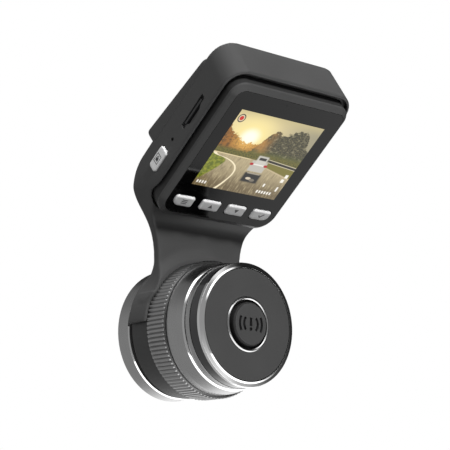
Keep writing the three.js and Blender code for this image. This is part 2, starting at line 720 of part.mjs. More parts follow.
const sensorBoard = 19;
const moduleStart = sensorBoard + 1.2 + GAP;
const tubeOuter = 7.9;
const tubeInner = 6.6;
const lensRadius = tubeInner - GAP;
const screwX = 12.4;

function lensHolder() {
  const base = box([-14.5, moduleStart, -8.5], [14.5, moduleStart + 2, 8.5]);
  const tower = box([-9.6, moduleStart, -9.6], [9.6, 28, 9.6]);
  const bore = disc(tubeOuter + GAP, moduleStart + 1.6, 30, PLAIN);
  const window = box([-4.6, moduleStart - 1, -3.8], [4.6, moduleStart + 3, 3.8]);
  const holes = [-screwX, screwX].map((x) =>
    disc(1, moduleStart - 1, moduleStart + 3, 12).translate(x, 0, 0));
  return cut(join(base, tower), bore, window, ...holes);
}

function sensorScrew(x) {
  const head = disc(1.6, moduleStart + 2.1, moduleStart + 3.2, 14);
  const shank = disc(0.8, sensorBoard - 1.2, moduleStart + 2.4, 12);
  return join(head, shank).translate(x, 0, 0);
}

const lensTube = turned([
  [tubeInner, 24], [tubeOuter, 24], [tubeOuter, 40.2], [tubeInner, 40.2],
], PLAIN);
const lensBezel = turned([
  [tubeOuter + GAP, 37.6], [CORE.inner - GAP, 37.6], [CORE.inner - GAP, 41.6],
  [CORE.inner - 1.2, 41.6], [11.5, 39.6], [tubeOuter + GAP, 39.6],
], 32);
const lockRing = turned([
  [6, 40.35], [tubeOuter, 40.35], [tubeOuter, 41.1], [tubeOuter - 0.4, 41.5], [6.6, 41.5],
  [6, 40.9],
], PLAIN);

// A lens element with one domed side; dome is how far its middle stands forwards.
function lensElement(radius, start, edge, dome) {
  const steps = 3;
  const outline = [[0, start], [radius, start]];
  for (let step = 0; step <= steps; step += 1) {
    const angle = (step / steps) * (Math.PI / 2);
    outline.push([radius * Math.cos(angle), start + edge + dome * Math.sin(angle)]);
  }
  outline[outline.length - 1][0] = 0;
  return turned(outline, PLAIN);
}

const boardHoles = [-screwX, screwX].map((x) =>
  disc(1, sensorBoard - 1, sensorBoard + 3, 12).translate(x, 0, 0));

add(barrelFrame, 'sensor_board',
  cut(disc(17.4, sensorBoard, sensorBoard + 1.2, 32), ...boardHoles), circuitBoard);
add(barrelFrame, 'image_sensor',
  box([-4, moduleStart, -3.2], [4, moduleStart + 1.2, 3.2]), chipBlack);
add(barrelFrame, 'lens_holder', lensHolder(), blackPlastic);
[-screwX, screwX].forEach((x, index) =>
  add(barrelFrame, `sensor_screw_${index + 1}`, sensorScrew(x), satinMetal));
add(barrelFrame, 'lens_tube', lensTube, blackPlastic);
add(barrelFrame, 'rear_lens', lensElement(lensRadius, 26.5, 1.2, 0.8), lensGlass);
add(barrelFrame, 'middle_lens', lensElement(lensRadius, 31.5, 1.4, 1.0), lensGlass);
add(barrelFrame, 'front_lens', lensElement(5.8, 37.6, 2.4, 1.9), lensGlass);
add(barrelFrame, 'lens_lock_ring', lockRing, blackPlastic);
add(barrelFrame, 'lens_bezel', lensBezel, blackPlastic);

const camera = new THREE.Group();
camera.add(barrelFrame);
export default camera;
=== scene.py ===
"""Looks of the dash camera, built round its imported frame.

Pieces are drawn in millimetres in the CAD's two working frames: the barrel frame, with its origin
at the centre of the barrel's rear end and its axis along +Y, and the head frame, with x to the
right, v up the screen and n out of it. Each piece's mesh is then put in the part's frame, in
metres.
"""

import math

import bmesh
import bpy
import numpy as np
from mathutils import Matrix, Vector


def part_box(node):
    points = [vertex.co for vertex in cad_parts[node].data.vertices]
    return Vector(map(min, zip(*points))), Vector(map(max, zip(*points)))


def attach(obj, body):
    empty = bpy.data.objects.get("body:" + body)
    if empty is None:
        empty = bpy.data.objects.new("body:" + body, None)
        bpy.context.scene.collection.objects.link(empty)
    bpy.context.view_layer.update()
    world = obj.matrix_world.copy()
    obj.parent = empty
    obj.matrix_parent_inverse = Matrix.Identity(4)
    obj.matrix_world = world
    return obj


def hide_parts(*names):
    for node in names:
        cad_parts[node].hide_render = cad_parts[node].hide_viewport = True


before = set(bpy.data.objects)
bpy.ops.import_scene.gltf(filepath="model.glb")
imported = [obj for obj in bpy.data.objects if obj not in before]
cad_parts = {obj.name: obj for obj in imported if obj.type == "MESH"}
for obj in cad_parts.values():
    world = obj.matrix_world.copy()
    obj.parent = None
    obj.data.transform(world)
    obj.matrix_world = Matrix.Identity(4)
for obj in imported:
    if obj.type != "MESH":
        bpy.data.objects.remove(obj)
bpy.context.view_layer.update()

# ---- frames ----

MM = 0.001
SCREEN_DROP = math.radians(51.2)  # of the screen's normal below the horizontal
SCREEN_HEIGHT = 57.9  # of the head frame's origin above the barrel's axis
SCREEN_SETBACK = 5.36  # of the head frame's origin behind the barrel's rear end
PLATE_STEP = 0.1  # the end plate lies this far inside the barrel's rear end

plate_low, plate_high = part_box("end_plate")
BARREL_CENTRE = Vector((0, plate_low.y - PLATE_STEP * MM, (plate_low.z + plate_high.z) / 2))
HEAD_CENTRE = BARREL_CENTRE + Vector((0, -SCREEN_SETBACK, SCREEN_HEIGHT)) * MM
BARREL = Matrix.Translation(BARREL_CENTRE) @ Matrix.Scale(MM, 4)
HEAD = (Matrix.Translation(HEAD_CENTRE) @ Matrix.Rotation(math.pi / 2 + SCREEN_DROP, 4, "X")
        @ Matrix.Scale(MM, 4))

# For a piece drawn as (v, n, x) in the head frame, and for one drawn as (x, z, y) in the barrel's.
SIDEWAYS = HEAD @ Matrix(((0, 0, 1, 0), (1, 0, 0, 0), (0, 1, 0, 0), (0, 0, 0, 1)))
END_ON = BARREL @ Matrix(((1, 0, 0, 0), (0, 0, 1, 0), (0, 1, 0, 0), (0, 0, 0, 1)))

# ---- driving dimensions, as in the CAD ----

DISPLAY_HALF, DISPLAY_HIGH = 19.2, 16.65
BLOCK_HALF, BLOCK_TOP, BLOCK_BOTTOM, BLOCK_RADIUS, BLOCK_LOW_RADIUS = 26.8, 25.9, -31.8, 5.4, 7.2
BLOCK_DEPTH, BLOCK_BEVEL, BLOCK_RUN = 7.6, 1.4, 2.0
GLASS_INSET, GLASS_THICK = 2.15, 1.2
SHELL_HALF, SHELL_TOP, SHELL_RADIUS = 28.9, 28.7, 7.6
SHELL_RIM, SHELL_BACK, SHELL_WALL, SHELL_REAR = -3.9, -18.7, 1.2, 1.8
TAPER_RISE, TAPER_NARROW = 0.1, 0.0015
GROOVE_DEPTH = 2.2  # of the gap round the block, which a ledge closes
# The cavity's bottom rises with depth, so that it stays clear of the neck's rear.
CAVITY = ((-31.9, -8.2), (-30.4, -13.9), (-25.5, SHELL_BACK + SHELL_REAR))
NECK_FRONT, NECK_REAR, NECK_HALF, NECK_WIDE, NECK_NARROW = 25.3, 28.55, 18.8, 52.0, 24.0
SHOULDER_RADIUS, SHOULDER_FOOT, COLLAR_END, COLLAR_BORE = 24.9, 1.5, 34.8, 23.3
NECK_FILLET, SHOULDER_EDGE, FOOT_EDGE, BORE_EDGE, CAVITY_EDGE, CHANNEL_EDGE = (
    5.2, 0.5, 0.35, 0.3, 0.45, 0.2)
CHANNEL_HALF, CHANNEL_FLOOR, CHANNEL_LOW, CHANNEL_HIGH = 12.4, 26.7, 29.5, 46.8
BAND_INNER = 20.75
GRIP_START, GRIP_END, GRIP_RADIUS, GRIP_DEPTH, GRIP_TEETH = 16.4, 25.3, 24.16, 0.6, 100
TOOTH_GAP = 0.34  # the half width of the gap between two teeth, as a share of the pitch
KEY_WIDTH, KEY_BOTTOM, KEY_TOP, KEY_PROUD, KEY_PITCH = 8.4, -26.4, -22.0, 0.7, 11.9
KEY_PLACES = {"menu_key": -1.5, "up_key": -0.5, "down_key": 0.5, "ok_key": 1.5}
SIDE_TOP, SIDE_BOTTOM, SIDE_BACK, SIDE_FRONT, SIDE_PROUD = -11.7, -20.7, -12.5, -8.1, 0.5
SLOT_BOTTOM, SLOT_TOP, SLOT_BACK, SLOT_FRONT = -1.3, 12.8, -10.4, -8.2
RESET_V, RESET_N, RESET_RADIUS = -7.3, -10.2, 0.7
SOCKET_HALF, SOCKET_BACK, SOCKET_FRONT = 4.6, -10.9, -7.6
TONGUE_HALF, TONGUE_BACK, TONGUE_FRONT = 3.2, -9.6, -8.9
CARD_LONG, CARD_WIDE = 15, 11
SOUND_PLACES, SOUND_N, SOUND_RADIUS = (10, 12, 14, 16), -15.2, 0.6
SCREW_PLACES = [(x, v) for x in (-22.5, 22.5) for v in (19.5, -11.3)]
SCREW_HOLE, SCREW_SEAT, SCREW_SEAT_DEPTH, SCREW_HOLE_END = 1.15, 2.05, 1.2, -15.5
STEPS = 224  # round the barrel's rings
TOOTH_STEPS = 12
GRID = 0.42  # spacing of the housing's distance field
TINY = 1e-6  # lengths below it count as none

# ---- mesh helpers ----


def link(obj):
    bpy.context.scene.collection.objects.link(obj)
    return obj


def make(name, points, faces, place, sharp=35):
    """A mesh object from points in a working frame, with its flat and round stretches shaded so."""
    mesh = bpy.data.meshes.new(name)
    mesh.from_pydata([tuple(place @ Vector(p)) for p in points], [], faces)
    bm = bmesh.new()
    bm.from_mesh(mesh)
    bmesh.ops.remove_doubles(bm, verts=bm.verts, dist=1e-7)
    bmesh.ops.recalc_face_normals(bm, faces=bm.faces)
    bm.to_mesh(mesh)
    bm.free()
    shade(mesh, sharp)
    return link(bpy.data.objects.new(name, mesh))


def shade(mesh, sharp=35):
    mesh.shade_smooth()
    mesh.set_sharp_from_angle(angle=math.radians(sharp))


def soften(corners, steps=4):
    """An outline from (x, y, radius) corners, each rounded by its radius."""
    outline = []
    for index, (x, y, radius) in enumerate(corners):
        here = Vector((x, y))
        before = Vector(corners[index - 1][:2]) - here
        after = Vector(corners[(index + 1) % len(corners)][:2]) - here
        if radius <= 0 or before.length < TINY or after.length < TINY:
            outline.append((x, y))
            continue
        half = before.angle(after) / 2
        reach = min(radius / max(math.tan(half), 1e-3), 0.48 * before.length, 0.48 * after.length)
        start, end = here + before.normalized() * reach, here + after.normalized() * reach
        for step in range(steps + 1):
            t = step / steps
            outline.append(tuple(start * (1 - t) ** 2 + here * 2 * t * (1 - t) + end * t * t))
    return outline


def tube_faces(rings, count, closed_loop):
    """Quads between rings of the same number of points."""
    last = rings if closed_loop else rings - 1
    return [
        (r * count + k, r * count + (k + 1) % count,
         (r + 1) % rings * count + (k + 1) % count, (r + 1) % rings * count + k)
        for r in range(last) for k in range(count)
    ]


def turned(name, corners, steps=STEPS):
    """A piece turned about the barrel's axis, from (radius, place along it, rounding) corners."""
    outline = soften(corners)
    turns = [2 * math.pi * step / steps for step in range(steps)]
    points = [(radius * math.cos(turn), along, radius * math.sin(turn))
              for turn in turns for radius, along in outline]
    obj = make(name, points, tube_faces(steps, len(outline), True), BARREL, sharp=28)
    even_normals(obj)
    return obj


def round_corners(left, low, right, high, radii, steps):
    """The outline of a rectangle, anticlockwise from its upper right corner. Each of the four
    corners has its own radius."""
    outline = []
    for quarter, r in enumerate(radii):
        x = left + r if quarter in (1, 2) else right - r
        y = high - r if quarter < 2 else low + r
        for step in range(steps + 1):
            angle = (quarter + step / steps) * math.pi / 2
            outline.append((x + r * math.cos(angle), y + r * math.sin(angle)))
    return outline


def rounded_rect(left, low, right, high, radius, low_radius=None, steps=10):
    low_radius = radius if low_radius is None else low_radius
    return round_corners(left, low, right, high, (radius, radius, low_radius, low_radius), steps)


def inset_rect(left, low, right, high, radius, low_radius=None, steps=10):
    """A rounded rectangle, as a function of how far its outline is moved in."""
    low_radius = radius if low_radius is None else low_radius
    return lambda inset: rounded_rect(left + inset, low + inset, right - inset, high - inset,
                                      radius - inset, low_radius - inset, steps)


def loft(name, rings, place, closed_loop=False, sharp=35):
    """Quads from ring to ring, with the ends capped unless the rings close on themselves."""
    count = len(rings[0])
    points = [p for ring in rings for p in ring]
    faces = tube_faces(len(rings), count, closed_loop)
    if not closed_loop:
        faces += [tuple(range(count)), tuple(range(len(points) - 1, len(points) - count - 1, -1))]
    obj = make(name, points, faces, place, sharp)
    even_normals(obj)
    return obj


def even_normals(obj):
    """Keeps large flat faces flat where they meet a rounded edge."""
    modifier = obj.modifiers.new("even", "WEIGHTED_NORMAL")
    modifier.weight = 100
    modifier.keep_sharp = True


def slab(name, outline_at, low, high, edge, place, low_edge=0.0):
    """A plate between two levels, with rounded edges. outline_at(inset) gives its outline."""
    turns = 5
    rings = []
    for step in range(turns + 1 if low_edge else 1):
        angle = step / turns * math.pi / 2
        rings.append([(x, y, low + low_edge * (1 - math.cos(angle)))
                      for x, y in outline_at(low_edge * (1 - math.sin(angle)))])
    for step in range(turns + 1):
        angle = step / turns * math.pi / 2
        rings.append([(x, y, high - edge * (1 - math.sin(angle)))
                      for x, y in outline_at(edge * (1 - math.cos(angle)))])
    return loft(name, rings, place)


def apply_modifiers(obj):
    """Puts the modified mesh in the object's place."""
    depsgraph = bpy.context.evaluated_depsgraph_get()
    mesh = bpy.data.meshes.new_from_object(obj.evaluated_get(depsgraph))
    obj.modifiers.clear()
    obj.data = mesh


def carve(obj, cutters, sharp=35):
    """Cuts the cutters out of a closed piece, and removes them."""
    obj.modifiers.clear()
    for cutter in cutters:
        cutter.modifiers.clear()
        modifier = obj.modifiers.new("cut", "BOOLEAN")
        modifier.operation = "DIFFERENCE"
        modifier.solver = "MANIFOLD"
        modifier.object = cutter
    apply_modifiers(obj)
    for cutter in cutters:
        bpy.data.objects.remove(cutter)
    shade(obj.data, sharp)
    even_normals(obj)


def prism(name, outline, low, high, place):
    """A plain extrusion, mostly used as a cutter."""
    return loft(name, [[(x, y, level) for x, y in outline] for level in (low, high)], place)


SQUARE = ((-1, -1), (1, -1), (1, 1), (-1, 1))  # a square's corners, anticlockwise


def bar(x, y, width, height):
    """A rectangle's outline, from its middle and its size."""
    return [(x + a * width / 2, y + b * height / 2) for a, b in SQUARE]


def circle(x, y, radius, steps=24):
    return [(x + radius * math.cos(2 * math.pi * k / steps),
             y + radius * math.sin(2 * math.pi * k / steps)) for k in range(steps)]


# ---- distance fields ----


def outline_distance(outline, x, y):
    """Signed distance from points to a closed outline, negative inside."""
    nearest = np.full(np.broadcast(x, y).shape, 1e9)
    inside = np.zeros(nearest.shape, bool)
    for index, (bx, by) in enumerate(outline):
        ax, ay = outline[index - 1]
        ex, ey = bx - ax, by - ay
        length = ex * ex + ey * ey
        if length < 1e-12:
            continue
        t = np.clip(((x - ax) * ex + (y - ay) * ey) / length, 0, 1)
        nearest = np.minimum(nearest, (x - ax - t * ex) ** 2 + (y - ay - t * ey) ** 2)
        rise = ey if abs(ey) > 1e-12 else 1e-12
        inside ^= ((ay > y) != (by > y)) & (x < ex * (y - ay) / rise + ax)
    return np.where(inside, -1, 1) * np.sqrt(nearest)


def rect_distance(x, v, left, low, right, high, radius):
    """Signed distance to a rectangle with rounded corners. The radius may vary over the field."""
    qx = np.abs(x - (left + right) / 2) - (right - left) / 2 + radius
    qv = np.abs(v - (low + high) / 2) - (high - low) / 2 + radius
    outside = np.hypot(np.maximum(qx, 0), np.maximum(qv, 0))
    return outside + np.minimum(np.maximum(qx, qv), 0) - radius


def both(a, b, radius):
    """The overlap of two fields, with its edge rounded."""
    return np.minimum(np.maximum(a, b), -radius) + np.hypot(
        np.maximum(a + radius, 0), np.maximum(b + radius, 0))


def either(a, b, radius):
    """The union of two fields, with its inner corner filleted."""
    return np.maximum(np.minimum(a, b), radius) - np.hypot(
        np.maximum(radius - a, 0), np.maximum(radius - b, 0))


def surface_of(field, low, step):
    """Quads over the zero surface of a sampled distance field: one point in each cell that the
    surface crosses, moved onto the surface."""
    shape = np.array(field.shape)
    cells = tuple(shape - 1)
    corners = [(i, j, k) for i in (0, 1) for j in (0, 1) for k in (0, 1)]
    values = np.stack([field[i:i + cells[0], j:j + cells[1], k:k + cells[2]]
                       for i, j, k in corners])
    count = (values < 0).sum(0)
    active = (count > 0) & (count < 8)
    places = np.argwhere(active)
    chosen = values[:, active]
    total = np.zeros((len(places), 3))
    hits = np.zeros(len(places))
    for a, start in enumerate(corners):
        for b, end in enumerate(corners):
            if b > a and sum(p != q for p, q in zip(start, end)) == 1:
                crosses = (chosen[a] < 0) != (chosen[b] < 0)
                drop = np.where(crosses, chosen[a] - chosen[b], 1)
                share = np.where(crosses, chosen[a] / drop, 0)
                spot = np.array(start) + share[:, None] * (np.array(end) - np.array(start))
                total += np.where(crosses[:, None], spot, 0)
                hits += crosses
    points = places + total / hits[:, None]
    points = settle(field, points)
    number = np.full(cells, -1)
    number[active] = np.arange(len(places))
    faces = []
    for axis in range(3):
        u, w = (axis + 1) % 3, (axis + 2) % 3
        here = [slice(1, -1)] * 3
        here[axis] = slice(0, -1)
        there = list(here)
        there[axis] = slice(1, None)
        inside, beyond = field[tuple(here)] < 0, field[tuple(there)] < 0
        for flip, mask in ((False, inside & ~beyond), (True, ~inside & beyond)):
            at = np.argwhere(mask)
            at[:, u] += 1
            at[:, w] += 1
            ring = []
            for du, dw in ((1, 1), (0, 1), (0, 0), (1, 0)):
                cell = at.copy()
                cell[:, u] -= du
                cell[:, w] -= dw
                ring.append(number[tuple(cell.T)])
            quads = np.stack(ring, 1)
            faces.append(quads[:, ::-1] if flip else quads)
    return np.array(low) + points * step, np.concatenate(faces)


def sample(field, points):
    """The field between its grid points."""
    base = np.clip(np.floor(points).astype(int), 0, np.array(field.shape) - 2)
    part = points - base
    value = np.zeros(len(points))
    for i in (0, 1):
        for j in (0, 1):
            for k in (0, 1):
                weight = (np.abs(1 - i - part[:, 0]) * np.abs(1 - j - part[:, 1])
                          * np.abs(1 - k - part[:, 2]))
                value += weight * field[base[:, 0] + i, base[:, 1] + j, base[:, 2] + k]
    return value


def settle(field, points, rounds=3, reach=0.5):
    """Moves points along the field's slope onto its zero surface."""
    start = points.copy()
    for _ in range(rounds):
        slope = np.stack([
            sample(field, points + reach * np.eye(3)[axis])
            - sample(field, points - reach * np.eye(3)[axis]) for axis in range(3)
        ], 1) / (2 * reach)
        size = np.maximum((slope ** 2).sum(1), 1e-6)
        points = points - 0.9 * (sample(field, points) / size)[:, None] * slope
        points = np.clip(points, start - 0.75, start + 0.75)
    return points


# ---- materials ----


def new_material(name):
    """A material, its node tree and its shader."""
    material = bpy.data.materials.new(name)
    material.use_nodes = True
    return material, material.node_tree, material.node_tree.nodes["Principled BSDF"]


def fill(node, inputs):
    """Sets each of a node's inputs to a value, or links it to a socket."""
    for key, value in inputs.items():
        if isinstance(value, bpy.types.NodeSocket):
            node.id_data.links.new(value, node.inputs[key])
        else:
            node.inputs[key].default_value = value


def add_node(tree, kind, inputs=None, **settings):
    """A shader node with its inputs filled, and with its own properties set."""
    node = tree.nodes.new(f"ShaderNode{kind}")
    for key, value in settings.items():
        setattr(node, key, value)
    fill(node, inputs or {})
    return node


def surface(name, colour, roughness, metallic=0.0, grain=2600, bump=0.1, depth=2e-5, vary=0.08,
            stretch=(1, 1, 1), coat=0.0, specular=0.5, rough_vary=0.06):
    """A material with fine grain in its surface and slow variation in colour and roughness. A
    colour given as one number is a grey. grain is in cycles per metre, and stretch scales it
    along each axis."""
    material, tree, shader = new_material(name)
    colour = (colour,) * 3 if isinstance(colour, float) else colour
    where = add_node(tree, "TexCoord").outputs["Object"]
    scaled = add_node(tree, "Mapping", {"Vector": where, "Scale": stretch}).outputs["Vector"]
    fine = add_node(tree, "TexNoise", {
        "Vector": scaled, "Scale": grain, "Detail": 3.0, "Roughness": 0.6}).outputs["Fac"]
    relief = add_node(tree, "Bump", {"Height": fine, "Strength": bump, "Distance": depth})
    slow = add_node(tree, "TexNoise", {"Vector": where, "Scale": 60.0, "Detail": 4.0})
    mixed = add_node(tree, "Math", {0: fine, 1: 0.45, 2: slow.outputs["Fac"]},
                     operation="MULTIPLY_ADD").outputs["Value"]
    shades = add_node(tree, "ValToRGB", {"Fac": mixed})
    low, high = shades.color_ramp.elements
    low.position, high.position = 0.35, 1.0
    low.color = (*[c * (1 - vary) for c in colour], 1)
    high.color = (*[min(c * (1 + vary), 1) for c in colour], 1)
    rough = add_node(tree, "MapRange", {
        "Value": mixed, "From Min": 0.3, "From Max": 1.1,
        "To Min": max(roughness - rough_vary, 0.02), "To Max": min(roughness + rough_vary, 1.0)})
    fill(shader, {
        "Base Color": shades.outputs["Color"], "Roughness": rough.outputs["Result"],
        "Normal": relief.outputs["Normal"], "Metallic": metallic, "Specular IOR Level": specular,
        "Coat Weight": coat, "Coat Roughness": 0.04})
    return material


TURNED_LINES = (0.02, 1.0, 0.02)  # the grain of turned metal runs round the barrel's axis

MATERIALS = {
    "housing": surface("housing_plastic", 0.047, 0.46, bump=0.16, specular=0.36),
    # painted shade: plain plastic made darker to stand in for the shadow in the groove round the
    # block and round the emergency button's face
    "painted_shade": surface("shade_painted_plastic", 0.021, 0.55, bump=0.1, specular=0.3),
    "black": surface("black_plastic", (0.006, 0.006, 0.0065), 0.5, bump=0.12, specular=0.2),
    "gloss": surface("gloss_black", (0.02, 0.02, 0.021), 0.16, bump=0.02, coat=0.5),
    "glass": surface("screen_glass", (0.003, 0.003, 0.0033), 0.07, bump=0.0, vary=0.15,
                     rough_vary=0.015, specular=0.3),
    "key": surface("key_plastic", 0.74, 0.38, bump=0.08, vary=0.04),
    "bright": surface("bright_metal", 0.82, 0.07, metallic=1.0, grain=3000,
                      bump=0.02, vary=0.03, stretch=TURNED_LINES, rough_vary=0.02),
    "trim": surface("trim_metal", 0.5, 0.2, metallic=1.0, grain=3000, bump=0.05,
                    vary=0.05, stretch=TURNED_LINES, rough_vary=0.03),
    "satin": surface("satin_metal", 0.42, 0.27, metallic=1.0, grain=5000, bump=0.1,
                     vary=0.1, stretch=TURNED_LINES, rough_vary=0.05),
    "knurl": surface("knurled_metal", 0.36, 0.34, metallic=1.0, grain=3500, bump=0.1,
                     vary=0.1),
    "steel": surface("screw_steel", (0.4, 0.4, 0.41), 0.3, metallic=1.0, bump=0.1),
    "board": surface("circuit_board", (0.008, 0.09, 0.03), 0.4, bump=0.2, vary=0.3, grain=900),
    "chip": surface("chip_black", (0.012, 0.012, 0.013), 0.5, bump=0.15),
    "rubber": surface("rubber_black", 0.008, 0.8, bump=0.25),
    "foam": surface("foam_tape", 0.02, 0.95, bump=0.6, depth=6e-5, grain=3500,
                    vary=0.3),
    "foil": surface("foil_silver", (0.55, 0.55, 0.56), 0.35, metallic=1.0, grain=1500, bump=0.15),
    "film": surface("amber_film", (0.4, 0.13, 0.015), 0.3, bump=0.08, vary=0.15),
    "print_dark": surface("printed_grey", (0.045, 0.045, 0.047), 0.5, bump=0.05),
    "card": surface("card_black", (0.02, 0.02, 0.021), 0.45, bump=0.1),
}


def lens_material():
    material, tree, shader = new_material("coated_lens")
    facing = add_node(tree, "LayerWeight", {"Blend": 0.35})
    tint = add_node(tree, "ValToRGB", {"Fac": facing.outputs["Facing"]})
    tint.color_ramp.elements[0].color = (0.01, 0.012, 0.03, 1)
    tint.color_ramp.elements[1].color = (0.12, 0.05, 0.2, 1)
    fill(shader, {"Base Color": tint.outputs["Color"], "Roughness": 0.03, "Coat Weight": 1.0,
                  "Coat Roughness": 0.02})
    return material


MATERIALS["lens"] = lens_material()


def finish_piece(obj, body, material, *nodes):
    """Gives a piece its material, its body, and the CAD nodes that it stands for."""
    obj.data.materials.clear()
    obj.data.materials.append(MATERIALS[material])
    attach(obj, body)
    if nodes:
        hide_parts(*nodes)


def second_material(obj, material, place, chosen):
    """Gives another material to the faces whose middles are chosen, in a frame's coordinates."""
    obj.data.materials.append(MATERIALS[material])
    slot = len(obj.data.materials) - 1
    back = place.inverted()
    for face in obj.data.polygons:
        if chosen(back @ face.center):
            face.material_index = slot


# ---- main housing ----


def crossing(n, y):
    """The v where a plane of constant n crosses the barrel frame's y."""
    return -(y + SCREEN_SETBACK + n * math.cos(SCREEN_DROP)) / math.sin(SCREEN_DROP)


def in_barrel(v, n):
    """A point of the head's middle plane as (y, z) in the barrel frame."""
    return (-SCREEN_SETBACK - v * math.sin(SCREEN_DROP) - n * math.cos(SCREEN_DROP),
            SCREEN_HEIGHT + v * math.cos(SCREEN_DROP) - n * math.sin(SCREEN_DROP))


def bezier(points, steps=14):
    """Points along a Bezier curve of any degree, its last one left out."""
    curve = []
    for step in range(steps):
        t = step / steps
        level = [Vector(p) for p in points]
        while len(level) > 1:
            level = [a * (1 - t) + b * t for a, b in zip(level, level[1:])]
        curve.append(tuple(level[0]))
    return curve


def side_outline():
    """The head and neck from the side, as (y, z), open above the head's top."""
    rear_bend, front_bend, beyond = 7.0, 4.0, 60
    back_turn, front_turn = crossing(SHELL_BACK, NECK_REAR), crossing(SHELL_RIM, NECK_FRONT)
    rear, front = in_barrel(back_turn, SHELL_BACK), in_barrel(front_turn, SHELL_RIM)
    rear_end = rear[0], rear[1] - rear_bend
    front_end = in_barrel(front_turn + front_bend, SHELL_RIM)
    foot = SHOULDER_RADIUS / 2
    return [
        in_barrel(beyond, SHELL_RIM),
        in_barrel(beyond, SHELL_BACK),
        *bezier([in_barrel(back_turn + rear_bend, SHELL_BACK), rear, rear_end]),
        rear_end,
        (NECK_REAR, foot),
        (NECK_FRONT, foot),
        *bezier([(front[0], front[1] - front_bend), front, front_end]),
        front_end,
    ]


def front_outline():
    """The width of the neck seen along Y, as (x, z): wider than the head above it, and than the
    shoulder below it, so that those keep their own sides."""
    bend, beyond, round_off = NECK_WIDE - 11.5, 44, SHOULDER_RADIUS + 0.3
    ring_half, ring_top = SHOULDER_RADIUS * math.sqrt(0.75), SHOULDER_RADIUS / 2
    right = [(round_off * math.cos(a), round_off * math.sin(a))
             for a in np.radians(np.linspace(-60, 28, 23))]
    right += [
        *bezier([(ring_half, ring_top), (NECK_HALF, 16.5), (NECK_HALF, NECK_NARROW)]),
        *bezier([(NECK_HALF, NECK_NARROW), (NECK_HALF, bend), (SHELL_HALF, bend),
                 (SHELL_HALF, NECK_WIDE)]),
        (SHELL_HALF + 0.25, NECK_WIDE), (beyond, 78), (beyond, 130),
    ]
    return right + [(-x, z) for x, z in reversed(right)]


def housing_field(x, y, z):
    """Signed distance to the main housing, in the barrel frame."""
    v = -(y + SCREEN_SETBACK) * math.sin(SCREEN_DROP) + (z - SCREEN_HEIGHT) * math.cos(SCREEN_DROP)
    n = -(y + SCREEN_SETBACK) * math.cos(SCREEN_DROP) - (z - SCREEN_HEIGHT) * math.sin(SCREEN_DROP)
    behind = SHELL_RIM - n
    wide = x / (1 - TAPER_NARROW * behind)
    raised = v - TAPER_RISE * behind
    side = outline_distance(side_outline(), y, z)
    block = rect_distance(wide, raised, -SHELL_HALF, -150, SHELL_HALF, SHELL_TOP, SHELL_RADIUS)
    body = both(side, block, np.clip(0.8 + (n + 8) * 0.1, 0.4, 0.8))
    radius = np.hypot(x, z)
    ring = both(radius - SHOULDER_RADIUS, np.maximum(NECK_FRONT - y, y - COLLAR_END),
                SHOULDER_EDGE)
    body = either(body, ring, NECK_FILLET)
    body = both(body, outline_distance(front_outline(), x, z), np.clip((28.2 - y) * 0.3, 0.3, 0.8))
    body = both(body, SHOULDER_FOOT - z, FOOT_EDGE)
    bore = np.maximum(radius - COLLAR_BORE, NECK_FRONT - 2 - y)
    body = both(body, -bore, BORE_EDGE)
    mouth = rect_distance(wide, raised, -SHELL_HALF + SHELL_WALL, BLOCK_BOTTOM - 0.3,
                          SHELL_HALF - SHELL_WALL, SHELL_TOP - SHELL_WALL,
                          np.where(raised > 0, SHELL_RADIUS - SHELL_WALL, BLOCK_LOW_RADIUS + 0.4))
    cavity = np.maximum(mouth, SHELL_RIM - GROOVE_DEPTH - n)
    for bottom, level in CAVITY:
        seat = rect_distance(x, v, -BLOCK_HALF - 0.1, bottom, BLOCK_HALF + 0.1, BLOCK_TOP + 0.1,
                             np.where(v > 0, BLOCK_RADIUS, BLOCK_LOW_RADIUS))
        cavity = np.minimum(cavity, np.maximum(seat, level - n))
    body = both(body, -cavity, CAVITY_EDGE)
    channel = rect_distance(x, z, -CHANNEL_HALF, CHANNEL_LOW, CHANNEL_HALF, CHANNEL_HIGH, 1.8)
    return both(body, -np.maximum(channel, CHANNEL_FLOOR - y), CHANNEL_EDGE)


def housing_openings():
    """The card slot and its nail notch, the reset hole, the side key's hole, the USB socket's,
    the speaker's and the screws'."""
    wall = SHELL_HALF
    inside, outside = wall - 2.4, wall + 1
    side_hole = rounded_rect(SIDE_BOTTOM - 0.2, SIDE_BACK - 0.2, SIDE_TOP + 0.2, SIDE_FRONT + 0.2,
                             1.4)
    slot = rounded_rect(SLOT_BOTTOM, SLOT_BACK, SLOT_TOP, SLOT_FRONT, 0.25, steps=3)
    middle = (SLOT_BOTTOM + SLOT_TOP) / 2
    notch = [*bezier([(middle - 4.9, SLOT_FRONT - 0.3), (middle - 1.4, SLOT_FRONT + 4.1),
                      (middle + 4.9, SLOT_FRONT - 0.3)]), (middle + 4.9, SLOT_FRONT - 0.3)]
    socket = rounded_rect(-SOCKET_HALF - 0.3, SOCKET_BACK - 0.3, SOCKET_HALF + 0.3,
                          SOCKET_FRONT + 0.3, 1.3)
    cutters = [
        prism("cut_slot", slot, -outside, -inside, SIDEWAYS),
        prism("cut_notch", notch, -outside, -wall + 1.0, SIDEWAYS),
        prism("cut_reset", circle(RESET_V, RESET_N, RESET_RADIUS), -outside, -inside, SIDEWAYS),
        prism("cut_side", side_hole, -outside, -inside, SIDEWAYS),
        prism("cut_usb", socket, inside, outside, SIDEWAYS),
    ]
    cutters += [prism("cut_sound", circle(v, SOUND_N, SOUND_RADIUS, 16), inside, outside, SIDEWAYS)
                for v in SOUND_PLACES]
    back = SHELL_BACK - 1
    for x, v in SCREW_PLACES:
        cutters += [
            prism("cut_screw", circle(x, v, SCREW_HOLE), back, SCREW_HOLE_END, HEAD),
            prism("cut_seat", circle(x, v, SCREW_SEAT), back, SHELL_BACK + SCREW_SEAT_DEPTH, HEAD)]
    return cutters


